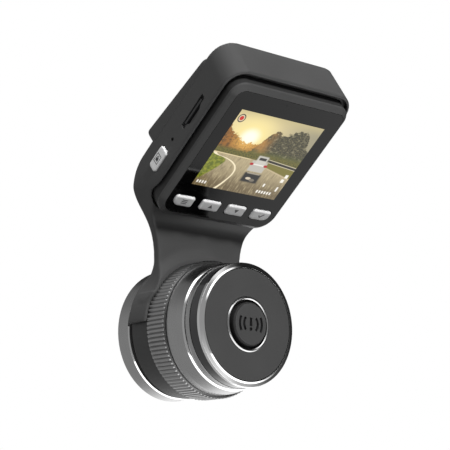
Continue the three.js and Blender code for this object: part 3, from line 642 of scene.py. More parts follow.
def main_housing():
    """The shell, neck and shoulder in one, from its field sampled over a box."""
    low, high = (-30.2, -31.5, -0.8), (30.2, 36.6, 100)
    lines = [np.arange(a, b + GRID, GRID) for a, b in zip(low, high)]
    x, y, z = np.meshgrid(*lines, indexing="ij", sparse=True)
    points, quads = surface_of(housing_field(x, y, z), low, GRID)
    mesh = bpy.data.meshes.new("main_housing_shell")
    placed = points @ np.array(BARREL.to_3x3()).T + np.array(BARREL.translation)
    mesh.from_pydata(placed.tolist(), [], quads.tolist())
    obj = link(bpy.data.objects.new("main_housing_shell", mesh))
    carve(obj, housing_openings(), sharp=50)
    finish_piece(obj, "head", "housing", "main_housing")


main_housing()

# ---- front housing, screen and keys ----


block_outline = inset_rect(-BLOCK_HALF, BLOCK_BOTTOM, BLOCK_HALF, BLOCK_TOP, BLOCK_RADIUS,
                           BLOCK_LOW_RADIUS, steps=14)


def front_housing():
    """The raised frame round the glass, swept round its outline from an (inset, n) section."""
    inner, seat, painted_shade_below = 3.4, GLASS_INSET - 0.1, -BLOCK_BEVEL - 0.5
    section = soften([
        (0, -BLOCK_DEPTH, 0.2), (0, -BLOCK_BEVEL, 1.2), (BLOCK_RUN, 0, 0.15),
        (seat, 0, 0.05), (seat, -GLASS_THICK - 0.2, 0),
        (inner, -GLASS_THICK - 0.2, 0.2), (inner, -BLOCK_DEPTH, 0.2),
    ])
    rings = [[(x, v, n) for x, v in block_outline(inset)] for inset, n in section]
    obj = loft("front_housing_frame", rings, HEAD, closed_loop=True)
    finish_piece(obj, "head", "housing", "front_housing")
    # Painted shade: the wall below the bevel gets the darker plastic, standing in for the shadow
    # deep in the groove round the block.
    second_material(obj, "painted_shade", HEAD, lambda spot: spot.z < painted_shade_below)


def key_outline(place, inset):
    """A key's outline. The outer keys' low corners follow the block's corner."""
    middle, half = place * KEY_PITCH, KEY_WIDTH / 2 - inset
    small, large = max(0.9 - inset, 0.15), max(2.6 - inset, 0.3)
    radii = (small, small, large if place < -1 else small, large if place > 1 else small)
    return round_corners(middle - half, KEY_BOTTOM + inset, middle + half, KEY_TOP - inset, radii,
                         steps=8)


def screen_glass():
    """The glass, with a window for each key."""
    obj = slab("screen_glass_plate", lambda inset: block_outline(GLASS_INSET + inset),
               -GLASS_THICK, 0.0, 0.12, HEAD)
    windows = [prism(f"cut_{name}", key_outline(place, -0.3), -3, 2, HEAD)
               for name, place in KEY_PLACES.items()]
    carve(obj, windows)
    finish_piece(obj, "head", "glass", "screen_glass")


def key_cap(name, place):
    levels = [(0.0, -2.2), (0.0, KEY_PROUD - 0.62), (0.05, KEY_PROUD - 0.42),
              (0.42, KEY_PROUD - 0.08), (0.6, KEY_PROUD), (1.1, KEY_PROUD + 0.02)]
    rings = [[(x, v, n) for x, v in key_outline(place, inset)] for inset, n in levels]
    obj = loft(f"{name}_cap", rings, HEAD, sharp=60)
    finish_piece(obj, name, "key", name)


def printed(name, shapes, place, level, body, material="print_dark"):
    """Flat marks, printed a hair above a surface."""
    points, faces = [], []
    for shape in shapes:
        start, count = len(points), len(shape)
        points += [(x, y, level) for x, y in shape] + [(x, y, level + 0.02) for x, y in shape]
        faces += [tuple(start + k for k in range(count)),
                  tuple(start + count + k for k in reversed(range(count)))]
        faces += [(start + k, start + (k + 1) % count, start + count + (k + 1) % count,
                   start + count + k) for k in range(count)]
    obj = make(name, points, faces, place)
    finish_piece(obj, body, material)


front_housing()
screen_glass()
for key_name, key_place in KEY_PLACES.items():
    key_cap(key_name, key_place)

KEY_MIDDLE = (KEY_BOTTOM + KEY_TOP) / 2
ICON_LEVEL = KEY_PROUD + 0.02


def key_icons():
    """Three bars, two triangles and a tick."""
    at = {name: place * KEY_PITCH for name, place in KEY_PLACES.items()}
    x = at["menu_key"]
    icons = {"menu_key": [bar(x, KEY_MIDDLE + dv, 2.4, 0.32) for dv in (-0.7, 0, 0.7)]}
    for name, sign in (("up_key", 1), ("down_key", -1)):
        x = at[name]
        icons[name] = [[(x - 0.95, KEY_MIDDLE - 0.7 * sign), (x + 0.95, KEY_MIDDLE - 0.7 * sign),
                        (x, KEY_MIDDLE + 0.8 * sign)]]
    x = at["ok_key"]
    tick = ((-1.2, 0), (-0.9, 0.3), (-0.3, -0.3), (1.0, 1.0), (1.3, 0.7), (-0.3, -0.9))
    icons["ok_key"] = [[(x + dx, KEY_MIDDLE + dv) for dx, dv in tick]]
    for name, shapes in icons.items():
        printed(f"{name}_icon", shapes, HEAD, ICON_LEVEL, name)


key_icons()


def side_button():
    """The pale side key: a cap with a rounded rim, and the flange that keeps it in."""
    outline = inset_rect(SIDE_BOTTOM, SIDE_BACK, SIDE_TOP, SIDE_FRONT, 1.2, steps=8)
    outer = -SHELL_HALF - SIDE_PROUD
    flange_inner, flange_outer = -26.5, -27.0
    levels = [(-0.35, flange_inner), (-0.35, flange_outer), (0, flange_outer - 0.05),
              (0, outer + 0.45), (0.06, outer + 0.25), (0.3, outer + 0.04), (0.5, outer),
              (1.0, outer - 0.02)]
    rings = [[(a, b, x) for a, b in outline(inset)] for inset, x in levels]
    obj = loft("side_button_cap", rings, SIDEWAYS, sharp=60)
    finish_piece(obj, "side_button", "key", "side_button")
    middle_v, middle_n = (SIDE_TOP + SIDE_BOTTOM) / 2, (SIDE_BACK + SIDE_FRONT) / 2
    frame_shapes = [
        bar(middle_v, middle_n + s * 1.25, 3.4, 0.25) for s in (-1, 1)
    ] + [bar(middle_v + s * 1.6, middle_n, 0.25, 2.3) for s in (-1, 1)]
    lock = [bar(middle_v - 0.3, middle_n, 1.2, 1.4)]
    arch = [(middle_v + 0.3 + 0.85 * math.cos(a), middle_n + 0.5 * math.sin(a))
            for a in np.linspace(-math.pi / 2, math.pi / 2, 9)]
    arch += [(middle_v + 0.3 + 0.6 * math.cos(a), middle_n + 0.28 * math.sin(a))
             for a in np.linspace(math.pi / 2, -math.pi / 2, 9)]
    printed("side_button_icon", frame_shapes + lock + [arch], SIDEWAYS, outer - 0.04, "side_button")


side_button()

# ---- display picture ----


class Wire:
    """A number inside a shader. Arithmetic on it adds Math nodes."""

    def __init__(self, source):
        self.tree, self.source = source.id_data, source

    def math(self, operation, *others):
        inputs = {0: self.source}
        for index, value in enumerate(others, 1):
            inputs[index] = value.source if isinstance(value, Wire) else value
        return Wire(add_node(self.tree, "Math", inputs, operation=operation).outputs[0])

    def __add__(self, other):
        return self.math("ADD", other)

    def __sub__(self, other):
        return self.math("SUBTRACT", other)

    def __mul__(self, other):
        return self.math("MULTIPLY", other)

    def ramp(self, low, high):
        """0 below low and 1 above high, smooth between. With low above high it falls instead."""
        ends = (high, low, 1, 0) if low > high else (low, high, 0, 1)
        inputs = dict(zip(("From Min", "From Max", "To Min", "To Max"), ends), Value=self.source)
        node = add_node(self.tree, "MapRange", inputs, interpolation_type="SMOOTHSTEP")
        return Wire(node.outputs["Result"])

    def curve(self, *stops):
        """A piecewise curve through (place, value) stops, all from 0 to 1."""
        node = add_node(self.tree, "FloatCurve", {"Value": self.source})
        points = node.mapping.curves[0].points
        points[0].location, points[-1].location = stops[0], stops[-1]
        for stop in stops[1:-1]:
            points.new(*stop)
        node.mapping.update()
        return Wire(node.outputs["Value"])


def components(vector):
    """A vector socket's three numbers."""
    split = add_node(vector.id_data, "SeparateXYZ", {"Vector": vector})
    return [Wire(split.outputs[axis]) for axis in "XYZ"]


def srgb(red, green, blue):
    """A colour given as it looks on a screen, from 0 to 255, as linear light."""
    return tuple(((c / 255 + 0.055) / 1.055) ** 2.4 for c in (red, green, blue))


def paint(base, *layers):
    """Puts (colour, cover) layers over a base, in order. Each cover is a Wire that says how far
    its colour hides what is below. Colours are sockets, or tuples as for srgb."""
    for colour, cover in layers:
        inputs = {"Factor": cover.source}
        for value, key in ((base, 6), (colour, 7)):  # the mix node's two colour inputs
            inputs[key] = (*srgb(*value), 1) if isinstance(value, tuple) else value
        base = add_node(cover.tree, "Mix", inputs, data_type="RGBA").outputs[2]
    return base


def display_material():
    """A generic road scene: low sun, trees, a bend, two cars ahead, and plain status marks."""
    material, tree, shader = new_material("display_picture")
    place = add_node(tree, "UVMap").outputs["UV"]
    u, v, _ = components(place)

    def noise(scale, detail=4.0, stretch=(1, 1, 1)):
        mapping = add_node(tree, "Mapping", {"Vector": place, "Scale": stretch})
        node = add_node(tree, "TexNoise", {"Vector": mapping.outputs["Vector"], "Scale": scale,
                                           "Detail": detail, "Roughness": 0.65})
        return Wire(node.outputs["Fac"])

    def near(x, y, radius, soft=0.02, squeeze=1.0):
        distance = ((u - x) * 1.15).math("POWER", 2) + ((v - y) * squeeze).math("POWER", 2)
        return distance.math("SQRT").ramp(radius + soft, radius)

    def patch(left, low, right, high, soft=0.008):
        return (u.ramp(left - soft, left + soft) * u.ramp(right + soft, right - soft)
                * v.ramp(low - soft, low + soft) * v.ramp(high + soft, high - soft))

    leaves, coarse, fine = noise(26), noise(7), noise(60, 6.0)
    sky = paint(
        (228, 210, 156),
        ((158, 150, 122), u.ramp(0.3, 1.0)),
        ((196, 182, 132), v.ramp(0.86, 1.05)),
        ((255, 236, 158), near(0.27, 0.7, 0.02, 0.42, 1.1)),
        ((255, 255, 236), near(0.27, 0.7, 0.04, 0.13, 1.1)))

    ragged = (leaves - 0.5) * 0.16 + (coarse - 0.5) * 0.08
    left_height = u.curve((0, 0.80), (0.06, 0.73), (0.14, 0.69), (0.24, 0.63), (0.36, 0.64),
                          (0.44, 0.66), (1, 0.6))
    left_trees = (v - left_height + ragged).ramp(0.015, -0.015)
    warm = paint(
        (150, 96, 26),
        ((236, 180, 84), near(0.27, 0.66, 0.02, 0.24)),
        ((70, 54, 20), leaves.ramp(0.46, 0.6) * u.ramp(0.3, 0.05) * 0.8),
        ((122, 88, 34), fine.ramp(0.45, 0.62) * u.ramp(0.1, 0.3) * 0.6))
    right_height = u.curve((0, 0.2), (0.38, 0.55), (0.46, 0.74), (0.54, 0.84), (0.62, 0.81),
                           (0.74, 0.88), (0.84, 0.9), (0.9, 0.86), (0.94, 0.76), (0.97, 0.7),
                           (1, 0.66))
    right_trees = (v - right_height + ragged).ramp(0.012, -0.012)
    olive = paint(
        (48, 46, 28),
        ((112, 104, 70), fine.ramp(0.42, 0.7)),
        ((146, 138, 108), leaves.ramp(0.52, 0.66) * 0.7),
        ((182, 132, 62), u.ramp(0.62, 0.42) * coarse.ramp(0.3, 0.7)),
        ((92, 98, 34), v.ramp(0.62, 0.46)))
    hedge = paint((112, 104, 36), ((62, 66, 22), fine.ramp(0.4, 0.65)))
    hedge_cover = (v + (leaves - 0.5) * 0.06).ramp(0.56, 0.5)

    road_noise = noise(9, 3.0, (6, 1, 1))
    road = paint(
        (176, 160, 124),
        ((108, 92, 62), v.ramp(0.36, 0.02)),
        ((206, 190, 148), road_noise.ramp(0.48, 0.72) * 0.6),
        ((92, 78, 52), road_noise.ramp(0.46, 0.3) * 0.5))
    ground = v.ramp(0.455, 0.44)
    verge_edge = v.curve((0, 0.0), (0.1, 0.03), (0.2, 0.1), (0.3, 0.16), (0.37, 0.18), (0.41, 0.1),
                         (0.44, 0.0), (1, 0.0))
    verge = (u - verge_edge).ramp(0.012, -0.012) * v.ramp(0.06, 0.12) * v.ramp(0.445, 0.43)
    grass = paint((92, 104, 14), ((150, 152, 40), leaves.ramp(0.4, 0.65)))
    line_place = v.curve((0, 0.265), (0.12, 0.322), (0.23, 0.35), (0.3, 0.335), (0.36, 0.27),
                         (0.4, 0.16), (0.43, 0.03), (1, 0.0))
    line_width = v.curve((0, 0.014), (0.3, 0.009), (0.43, 0.02), (1, 0.0))
    off_line = (u - line_place).math("ABSOLUTE") - line_width
    far_edge = ((v - 0.452) + u * 0.02).math("ABSOLUTE").ramp(0.008, 0.003)
    bank = (v + u * 0.24).ramp(0.535, 0.545) * ground * u.ramp(0.6, 0.66)
    rail = (v + u * 0.1 - 0.53).math("ABSOLUTE")
    rail_edge = (rail - 0.018).math("ABSOLUTE").ramp(0.006, 0.002)
    kerb = (v + u * 0.26 - 0.545).math("ABSOLUTE").ramp(0.009, 0.004) * u.ramp(0.64, 0.7)
    marks = [(0.94, 0.3, 0.975, 0.345), (0.925, 0.235, 0.96, 0.28), (0.935, 0.11, 0.955, 0.17),
             (0.765, 0.14, 0.785, 0.18)]
    marks += [(0.735 + 0.032 * k, 0.05, 0.753 + 0.032 * k, 0.085) for k in range(6)]
    marks += [(0.03 + 0.03 * k, 0.035, 0.046 + 0.03 * k, 0.07) for k in range(4)]

    picture = paint(
        sky,
        (warm, left_trees),
        (olive, right_trees),
        (hedge, hedge_cover),
        (road, ground),
        (grass, verge),
        ((246, 232, 196), off_line.ramp(0.006, -0.004) * ground),
        ((226, 206, 160), far_edge * u.ramp(0.48, 0.4)),
        ((120, 112, 40), bank),
        ((40, 36, 28), rail.ramp(0.022, 0.016) * u.ramp(0.6, 0.66)),
        ((206, 196, 166), rail_edge * u.ramp(0.6, 0.66)),
        ((196, 178, 140), kerb),
        # the van ahead, and its two lamps
        ((190, 186, 176), patch(0.475, 0.3, 0.655, 0.44)),
        ((204, 200, 190), patch(0.51, 0.4, 0.63, 0.51, 0.012)),
        ((36, 36, 32), patch(0.53, 0.455, 0.615, 0.49, 0.007)),
        ((238, 234, 226), patch(0.5, 0.385, 0.64, 0.4, 0.006)),
        *[((178, 26, 30), near(x, 0.392, 0.02, 0.01, 1.5)) for x in (0.482, 0.648)],
        # the dark car below it
        ((28, 27, 24), patch(0.475, 0.155, 0.67, 0.28, 0.014)),
        ((170, 160, 142), patch(0.5, 0.268, 0.65, 0.282, 0.007)),
        ((214, 200, 176), near(0.55, 0.205, 0.03, 0.012, 2.2)),
        ((120, 112, 98), near(0.6, 0.19, 0.03, 0.014, 2.0)),
        # the recording sign, and the other marks
        ((34, 26, 20), near(0.055, 0.9, 0.045, 0.006, 0.9)),
        ((220, 206, 172), near(0.055, 0.9, 0.034, 0.006, 0.9)),
        ((200, 26, 16), near(0.055, 0.9, 0.022, 0.006, 0.9)),
        *[((250, 246, 236), patch(*mark, 0.006)) for mark in marks])

    fill(shader, {"Base Color": (0.01, 0.01, 0.01, 1), "Roughness": 0.12,
                  "Emission Color": picture, "Emission Strength": 1.0})
    return material


MATERIALS["display"] = display_material()


def display_picture():
    outline = bar(0, 0, 2 * DISPLAY_HALF, 2 * DISPLAY_HIGH)
    obj = prism("display_picture", outline, 0.005, 0.03, HEAD)
    layer = obj.data.uv_layers.new(name="picture")
    back = HEAD.inverted()
    for loop in obj.data.loops:
        spot = back @ obj.data.vertices[loop.vertex_index].co
        layer.data[loop.index].uv = (spot.x / (2 * DISPLAY_HALF) + 0.5,
                                     spot.y / (2 * DISPLAY_HIGH) + 0.5)
    obj.visible_glossy = obj.visible_diffuse = False
    finish_piece(obj, "head", "display")


display_picture()
glass_dots = [circle(x, v, 0.32, 16) for x, v in ((-2.7, 22.1), (4.9, 22.0))]
printed("glass_dots", glass_dots, HEAD, 0.004, "head", "black")

# ---- wedge, pad and neck cover ----

WEDGE_HALF, WEDGE_TOP, WEDGE_BOTTOM, WEDGE_THIN = 28.26, 22.1, -16.0, 0.45
WEDGE_ANGLE = math.radians(6.2)
SEAT_GAP = 0.15
PAD_MIDDLE, PAD_HALF, PAD_HIGH, PAD_OUTER, PAD_INNER = 3.25, 26, 17.25, 0.75, 0.15


def wedge_face(v):
    return SHELL_BACK - SEAT_GAP - WEDGE_THIN - (WEDGE_TOP - v) * math.tan(WEDGE_ANGLE)


def mount_wedge():
    """The wedge, flush with the housing's sides. Its first rings lap over the housing's edge."""
    outline = inset_rect(-WEDGE_HALF, WEDGE_BOTTOM, WEDGE_HALF, WEDGE_TOP, 3.0, 2.4)
    rings = [[(x, v, SHELL_BACK + lap) for x, v in outline(inset)]
             for lap, inset in ((1.3, 0.12), (1.1, -0.12), (0.4, -0.14), (-0.2, -0.14))]
    for step in range(6):
        angle = step / 5 * math.pi / 2
        ring = []
        for x, v in outline(0.3 * (1 - math.cos(angle)) - 0.12):
            low_end = max(0.0, 1 - (v - WEDGE_BOTTOM) / 2)
            depth = min(0.3 + 1.4 * low_end, (SHELL_BACK - wedge_face(v)) * 0.8)
            ring.append((x, v, wedge_face(v) + depth * (1 - math.sin(angle))))
        rings.append(ring)
    obj = loft("mount_wedge_block", rings, HEAD)
    finish_piece(obj, "head", "housing", "mount_wedge")


def adhesive_pad():
    """The foam tape on the wedge's raked face."""
    face = (HEAD @ Matrix.Translation((0, PAD_MIDDLE, wedge_face(PAD_MIDDLE)))
            @ Matrix.Rotation(WEDGE_ANGLE, 4, "X"))
    outline = inset_rect(-PAD_HALF, -PAD_HIGH, PAD_HALF, PAD_HIGH, 4, steps=8)
    obj = slab("adhesive_pad_foam", outline, -PAD_OUTER, -PAD_INNER, 0.06, face, low_edge=0.12)
    finish_piece(obj, "head", "foam", "adhesive_pad")


def neck_cover():
    """The plate over the cable channel, a little smaller than it all round."""
    gap = 0.3
    outline = inset_rect(-CHANNEL_HALF + gap, CHANNEL_LOW + gap, CHANNEL_HALF - gap,
                         CHANNEL_HIGH - gap, 1.5, steps=6)
    obj = slab("neck_cover_plate", outline, NECK_REAR - 1.2, NECK_REAR - 0.15, 0.2, END_ON)
    finish_piece(obj, "head", "housing", "neck_cover")


mount_wedge()
adhesive_pad()
neck_cover()

# ---- barrel ----


RINGS = {  # the barrel's turned pieces: material, then (radius, place along the axis, rounding)
    "end_trim_ring": ("bright", [
        (19.45, 0, 0.03), (19.6, 0, 0.05), (20.15, 0.33, 0.04), (21.3, 0.67, 0.1), (21.5, 1.7, 0.1),
        (19.45, 1.7, 0)]),
    "dark_band": ("gloss", [
        (BAND_INNER, 1.85, 0), (21.3, 1.85, 0.12), (21.3, 5.6, 0.12), (BAND_INNER, 5.6, 0)]),
    "light_band": ("satin", [
        (BAND_INNER, 5.75, 0), (21.5, 5.75, 0.15), (21.5, 7.6, 0.1), (21.3, 8.15, 0.1),
        (BAND_INNER, 8.15, 0)]),
    "sleeve": ("satin", [
        (BAND_INNER, 8.3, 0), (21.45, 8.3, 0.05), (22.1, 8.72, 0.06), (22.4, 10.5, 1.5),
        (22.85, 13.2, 2.0), (23.0, 15.85, 0.3), (22.7, 16.25, 0.15), (BAND_INNER, 16.25, 0)]),
    "friction_washer": ("rubber", [
        (20.9, 34.95, 0.1), (21.6, 34.95, 0.1), (21.6, 35.75, 0.1), (20.9, 35.75, 0.1)]),
    "lens_end_ring": ("satin", [
        (BAND_INNER, 35.9, 0), (22.3, 35.9, 0.05), (22.6, 36.75, 0.03), (23.1, 37.05, 0.06),
        (23.45, 42.1, 0.12), (22.65, 42.9, 0.12), (BAND_INNER, 42.9, 0.15)]),
    "end_plate": ("housing", [
        (9.6, 0.1, 0.1), (19.25, 0.1, 0.12), (19.25, 1.6, 0), (9.6, 1.6, 0)]),
    "button_trim": ("trim", [
        (8.5, -0.1, 0.1), (9.0, -0.38, 0.25), (9.5, 0, 0.15), (9.5, 1.45, 0), (8.5, 1.45, 0)]),
}
# Where each bright edge lies along the axis. The lens end ring's first step is black.
SLEEVE_EDGE_END, LENS_STEP_END, LENS_EDGE_END = 8.7, 36.73, 37.02


def barrel_rings():
    rings = {}
    for node, (material, corners) in RINGS.items():
        rings[node] = turned(f"{node}_turned", corners)
        finish_piece(rings[node], "barrel", material, node)
    second_material(rings["lens_end_ring"], "rubber", BARREL, lambda spot: spot.y < LENS_STEP_END)
    second_material(rings["lens_end_ring"], "bright", BARREL,
                    lambda spot: LENS_STEP_END < spot.y < LENS_EDGE_END)
    second_material(rings["sleeve"], "bright", BARREL, lambda spot: spot.y < SLEEVE_EDGE_END)


def knurl_profile(angle):
    """The share of the tooth's depth that is cut away at an angle: flat crowns, V gaps."""
    place = (angle * GRIP_TEETH / (2 * math.pi)) % 1.0
    return max(0.0, 1 - min(place, 1 - place) / TOOTH_GAP)


def grip_ring():
    """The grip ring, with straight teeth whose ends are chamfered."""
    root, end_radius, chamfer = 22.6, GRIP_RADIUS - 0.32, 0.3
    rows = [(GRIP_START, BAND_INNER, 0), (GRIP_START, root, 0), (GRIP_START, end_radius, 1),
            (GRIP_START + chamfer, GRIP_RADIUS, 1), (GRIP_END - chamfer, GRIP_RADIUS, 1),
            (GRIP_END, end_radius, 1), (GRIP_END, root, 0), (GRIP_END, BAND_INNER, 0)]
    steps = GRIP_TEETH * TOOTH_STEPS
    points = []
    for step in range(steps):
        angle = 2 * math.pi * step / steps
        cut = GRIP_DEPTH * knurl_profile(angle)
        for along, radius, toothed in rows:
            r = min(radius, GRIP_RADIUS - cut) if toothed else radius
            points.append((r * math.cos(angle), along, r * math.sin(angle)))
    obj = make("grip_ring_knurled", points, tube_faces(steps, len(rows), True), BARREL, sharp=40)
    finish_piece(obj, "barrel", "knurl", "grip_ring")


def collar_ring():
    """The ring under the shoulder, with the notch that the ribbon passes through."""
    inner, outer, start = 20.9, 23.0, 25.8
    obj = turned("collar_ring_turned", [
        (inner, start, 0.1), (outer, start, 0.25), (outer, COLLAR_END, 0.25),
        (inner, COLLAR_END, 0.1)])
    notch = prism("cut_notch", bar(0, 22.5, 10, 15), start - 1, start + 2, END_ON)
    carve(obj, [notch])
    finish_piece(obj, "head", "housing", "collar_ring")


def ribbon(outline_points, width):
    """A stroke of a given width along a path, as an outline."""
    left, right = [], []
    for index, point in enumerate(outline_points):
        before = Vector(outline_points[max(index - 1, 0)])
        after = Vector(outline_points[min(index + 1, len(outline_points) - 1)])
        along = (after - before).normalized() * width / 2
        left.append((point[0] - along.y, point[1] + along.x))
        right.append((point[0] + along.y, point[1] - along.x))
    return left + right[::-1]


def emergency_button():
    """The round button, with a plain alert sign sunk in its face: a stroke and a dot between
    pairs of arcs."""
    face, proud = 7.0, 1.36
    obj = turned("emergency_button_cap", [
        (0, -proud, 0), (face, -proud, 0.25), (7.5, -proud + 0.6, 0.2), (7.5, 1.9, 0),
        (9.1, 1.9, 0), (9.1, 2.7, 0), (1.5, 2.7, 0), (1.5, 4.2, 0), (0, 4.2, 0)],
        steps=STEPS // 2)
    marks = [bar(0, 0.75, 1.1, 2.9), circle(0, -1.75, 0.65)]
    for side in (0, math.pi):
        for radius, reach in ((3.1, 44), (5.0, 30)):
            arc = [(radius * math.cos(side + a), radius * math.sin(side + a))
                   for a in np.radians(np.linspace(-reach, reach, 13))]
            marks.append(ribbon(arc, 1.0))
    depth = 0.45
    cutters = [prism(f"cut_mark_{k}", mark, -proud - 1, -proud + depth, END_ON)
               for k, mark in enumerate(marks)]
    carve(obj, cutters)
    printed("emergency_button_icon", marks, END_ON, -proud + depth - 0.04,
            "emergency_button", "black")
    finish_piece(obj, "emergency_button", "housing", "emergency_button")
    # Painted shadow: the button's rounded rim outside its face gets the darker plastic, standing in
    # for the shade where it sits sunk in its trim.
    second_material(obj, "painted_shade", BARREL, lambda spot: math.hypot(spot.x, spot.z) > face)


def lens_group():
    """What shows at the lens end: the coned bezel with its steps, the tube, its lock ring and the
    domed front element."""
    tube = turned("lens_tube_turned", [
        (6.6, 24, 0), (7.9, 24, 0), (7.9, 40.2, 0.1), (6.6, 40.2, 0.1)], steps=STEPS // 2)
    finish_piece(tube, "barrel", "black", "lens_tube")
    bore, rim, end = 8.05, 19.05, 41.6
    cone_radius, cone_run, cone_drop, cone_steps = 18.0, 6.5, 2.0, 5
    bezel = [(bore, 37.6, 0), (rim, 37.6, 0), (rim, end, 0.1), (cone_radius, end, 0.15)]
    for step in range(cone_steps):
        outer, inner = (cone_radius - cone_run * (step + k) / cone_steps for k in (0, 1))
        level = end - cone_drop * (step + 1) / cone_steps
        bezel += [(outer - 0.25, level, 0.08), (inner, level, 0.05)]
    bezel += [(bore, end - cone_drop, 0.1)]
    obj = turned("lens_bezel_turned", bezel)
    finish_piece(obj, "barrel", "black", "lens_bezel")
    lock = turned("lens_lock_ring_turned", [
        (6.0, 40.35, 0), (7.9, 40.35, 0), (7.9, 41.1, 0.1), (7.5, 41.5, 0.1), (6.6, 41.5, 0.1),
        (6.0, 40.9, 0.1)], steps=STEPS // 2)
    spanner = [prism(f"cut_spanner_{k}", bar(s * 6.9, 0, 1.8, 0.8), 41.0, 42.0, END_ON)
               for k, s in enumerate((-1, 1))]
    carve(lock, spanner)
    finish_piece(lock, "barrel", "black", "lens_lock_ring")
    radius, edge, bulge = 5.8, 40.0, 1.9
    dome = [(radius * math.cos(a), edge + bulge * math.sin(a), 0)
            for a in np.linspace(0, math.pi / 2, 14)]
    dome[-1] = (0, edge + bulge, 0)
    glass = turned("front_lens_polished", [(0, 37.6, 0), (radius, 37.6, 0.1), *dome],
                   steps=STEPS // 2)
    finish_piece(glass, "barrel", "lens", "front_lens")


barrel_rings()
grip_ring()
collar_ring()
emergency_button()
lens_group()

# ---- socket and card ----


def usb_socket():
    """The socket's drawn metal shell, open to the right, and the tongue inside it."""
    outer, length = SHELL_HALF - 0.3, 7.4
    def outline(inset):
        return rounded_rect(-SOCKET_HALF + inset, SOCKET_BACK + inset, SOCKET_HALF - inset,
                            SOCKET_FRONT - inset, 1.2 - inset / 2)
    inner = outer - length
    section = [(0, inner), (0, outer - 0.1), (0.08, outer), (0.3, outer), (0.4, outer - 0.15),
               (0.4, inner + 1), (1.2, inner + 0.99), (1.2, inner)]
    rings = [[(a, b, x) for a, b in outline(inset)] for inset, x in section]
    shell = loft("usb_socket_shell", rings, SIDEWAYS, closed_loop=True)
    finish_piece(shell, "head", "foil", "usb_socket")
    def tongue_outline(inset):
        return rounded_rect(-TONGUE_HALF + inset, TONGUE_BACK + inset, TONGUE_HALF - inset,
                            TONGUE_FRONT - inset, 0.15, steps=4)
    tongue = slab("usb_socket_tongue", tongue_outline, inner + 0.2, outer - 1.2, 0.1, SIDEWAYS)
    finish_piece(tongue, "head", "chip")


def memory_card():
    """The card, with its narrower inner end and a chamfered face edge."""
    left = -SHELL_HALF + 0.4
    right, low = left + CARD_LONG, (SLOT_BOTTOM + SLOT_TOP - CARD_WIDE) / 2
    cut, high, thick = low + 9.4, low + CARD_WIDE, 0.8
    back = (SLOT_BACK + SLOT_FRONT - thick) / 2
    outline = soften([
        (left, low, 0.5), (right, low, 0.4), (right, cut, 0.3), (right - 6.5, cut, 0.2),
        (right - 7.6, high, 0.3), (left, high, 0.5)])
    middle = Vector((sum(x for x, _ in outline) / len(outline), low + CARD_WIDE / 2))
    rings = [
        [(x - math.copysign(inset, x - middle.x), v - math.copysign(inset, v - middle.y), level)
         for x, v in outline]
        for inset, level in ((0, back), (0, back + 0.7), (0.06, back + thick))]
    obj = loft("memory_card_body", rings, HEAD)
    finish_piece(obj, "memory_card", "card", "memory_card")


usb_socket()
memory_card()

# ---- materials of the CAD nodes that stay ----

KEPT = {
    "rubber": ["key_membrane"],
    "chip": ["lcd_panel", "side_switch", "reset_switch", "processor", "memory_chip", "speaker",
             "emergency_plunger", "emergency_switch", "image_sensor"],
    "foil": ["backlight_unit", "card_socket", "battery", "microphone"],
    "lens": ["status_light", "rear_lens", "middle_lens"],
    "board": ["main_board", "button_board", "sensor_board"],
    "satin": ["heat_spreader"],
    "film": ["flex_cable"],
    "black": ["barrel_core", "lens_holder"],
    "steel": [f"housing_screw_{k}" for k in (1, 2, 3, 4)] + ["sensor_screw_1", "sensor_screw_2"],
}
for kept_material, kept_nodes in KEPT.items():
    for kept_node in kept_nodes:
        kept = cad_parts[kept_node]
        kept.data.materials.clear()
        kept.data.materials.append(MATERIALS[kept_material])

# ---- camera ----

CAMERA_TURN, CAMERA_RISE, CAMERA_ROLL = -41.26, -11.554, 0.124  # degrees
CAMERA_PLACE = Vector((-0.34953, -0.39216, -0.14920))
CAMERA_LENS = 123.45


def set_camera():
    turn, rise = math.radians(CAMERA_TURN), math.radians(CAMERA_RISE)
    level = math.cos(rise)
    back = Vector((math.sin(turn) * level, -math.cos(turn) * level, math.sin(rise)))
    data = bpy.data.cameras.new("camera")
    data.lens, data.sensor_width = CAMERA_LENS, 36
    camera = link(bpy.data.objects.new("camera", data))
    roll = Matrix.Rotation(math.radians(CAMERA_ROLL), 3, "Z")
    upright = (-back).to_track_quat("-Z", "Y").to_matrix()
    camera.matrix_world = Matrix.Translation(CAMERA_PLACE) @ (upright @ roll).to_4x4()
    data.clip_start, data.clip_end = 0.01, 50
    bpy.context.scene.camera = camera


set_camera()

# ---- studio ----

FLOOR_LEVEL, FLOOR_REACH, FLOOR_GLOW = -0.62, 6, 0.6
PALE = (0.9, 0.9, 0.9)
AMBIENT = 0.3
LIGHTS = (("key_light", (-0.13, -0.99, 0.68), 0.24, 22), ("top_light", (0.1, 0.35, 1.2), 0.6, 19),
          ("left_light", (-1.3, 0.2, 0.0), 0.8, 2.5))  # name, place, size, energy
LIT_POINT = Vector((0, -0.005, -0.06))


def mix_shaders(share, first, second):
    """Two shaders' sockets mixed: all of the first where share is 0."""
    return add_node(share.id_data, "MixShader", {0: share, 1: first, 2: second}).outputs[0]


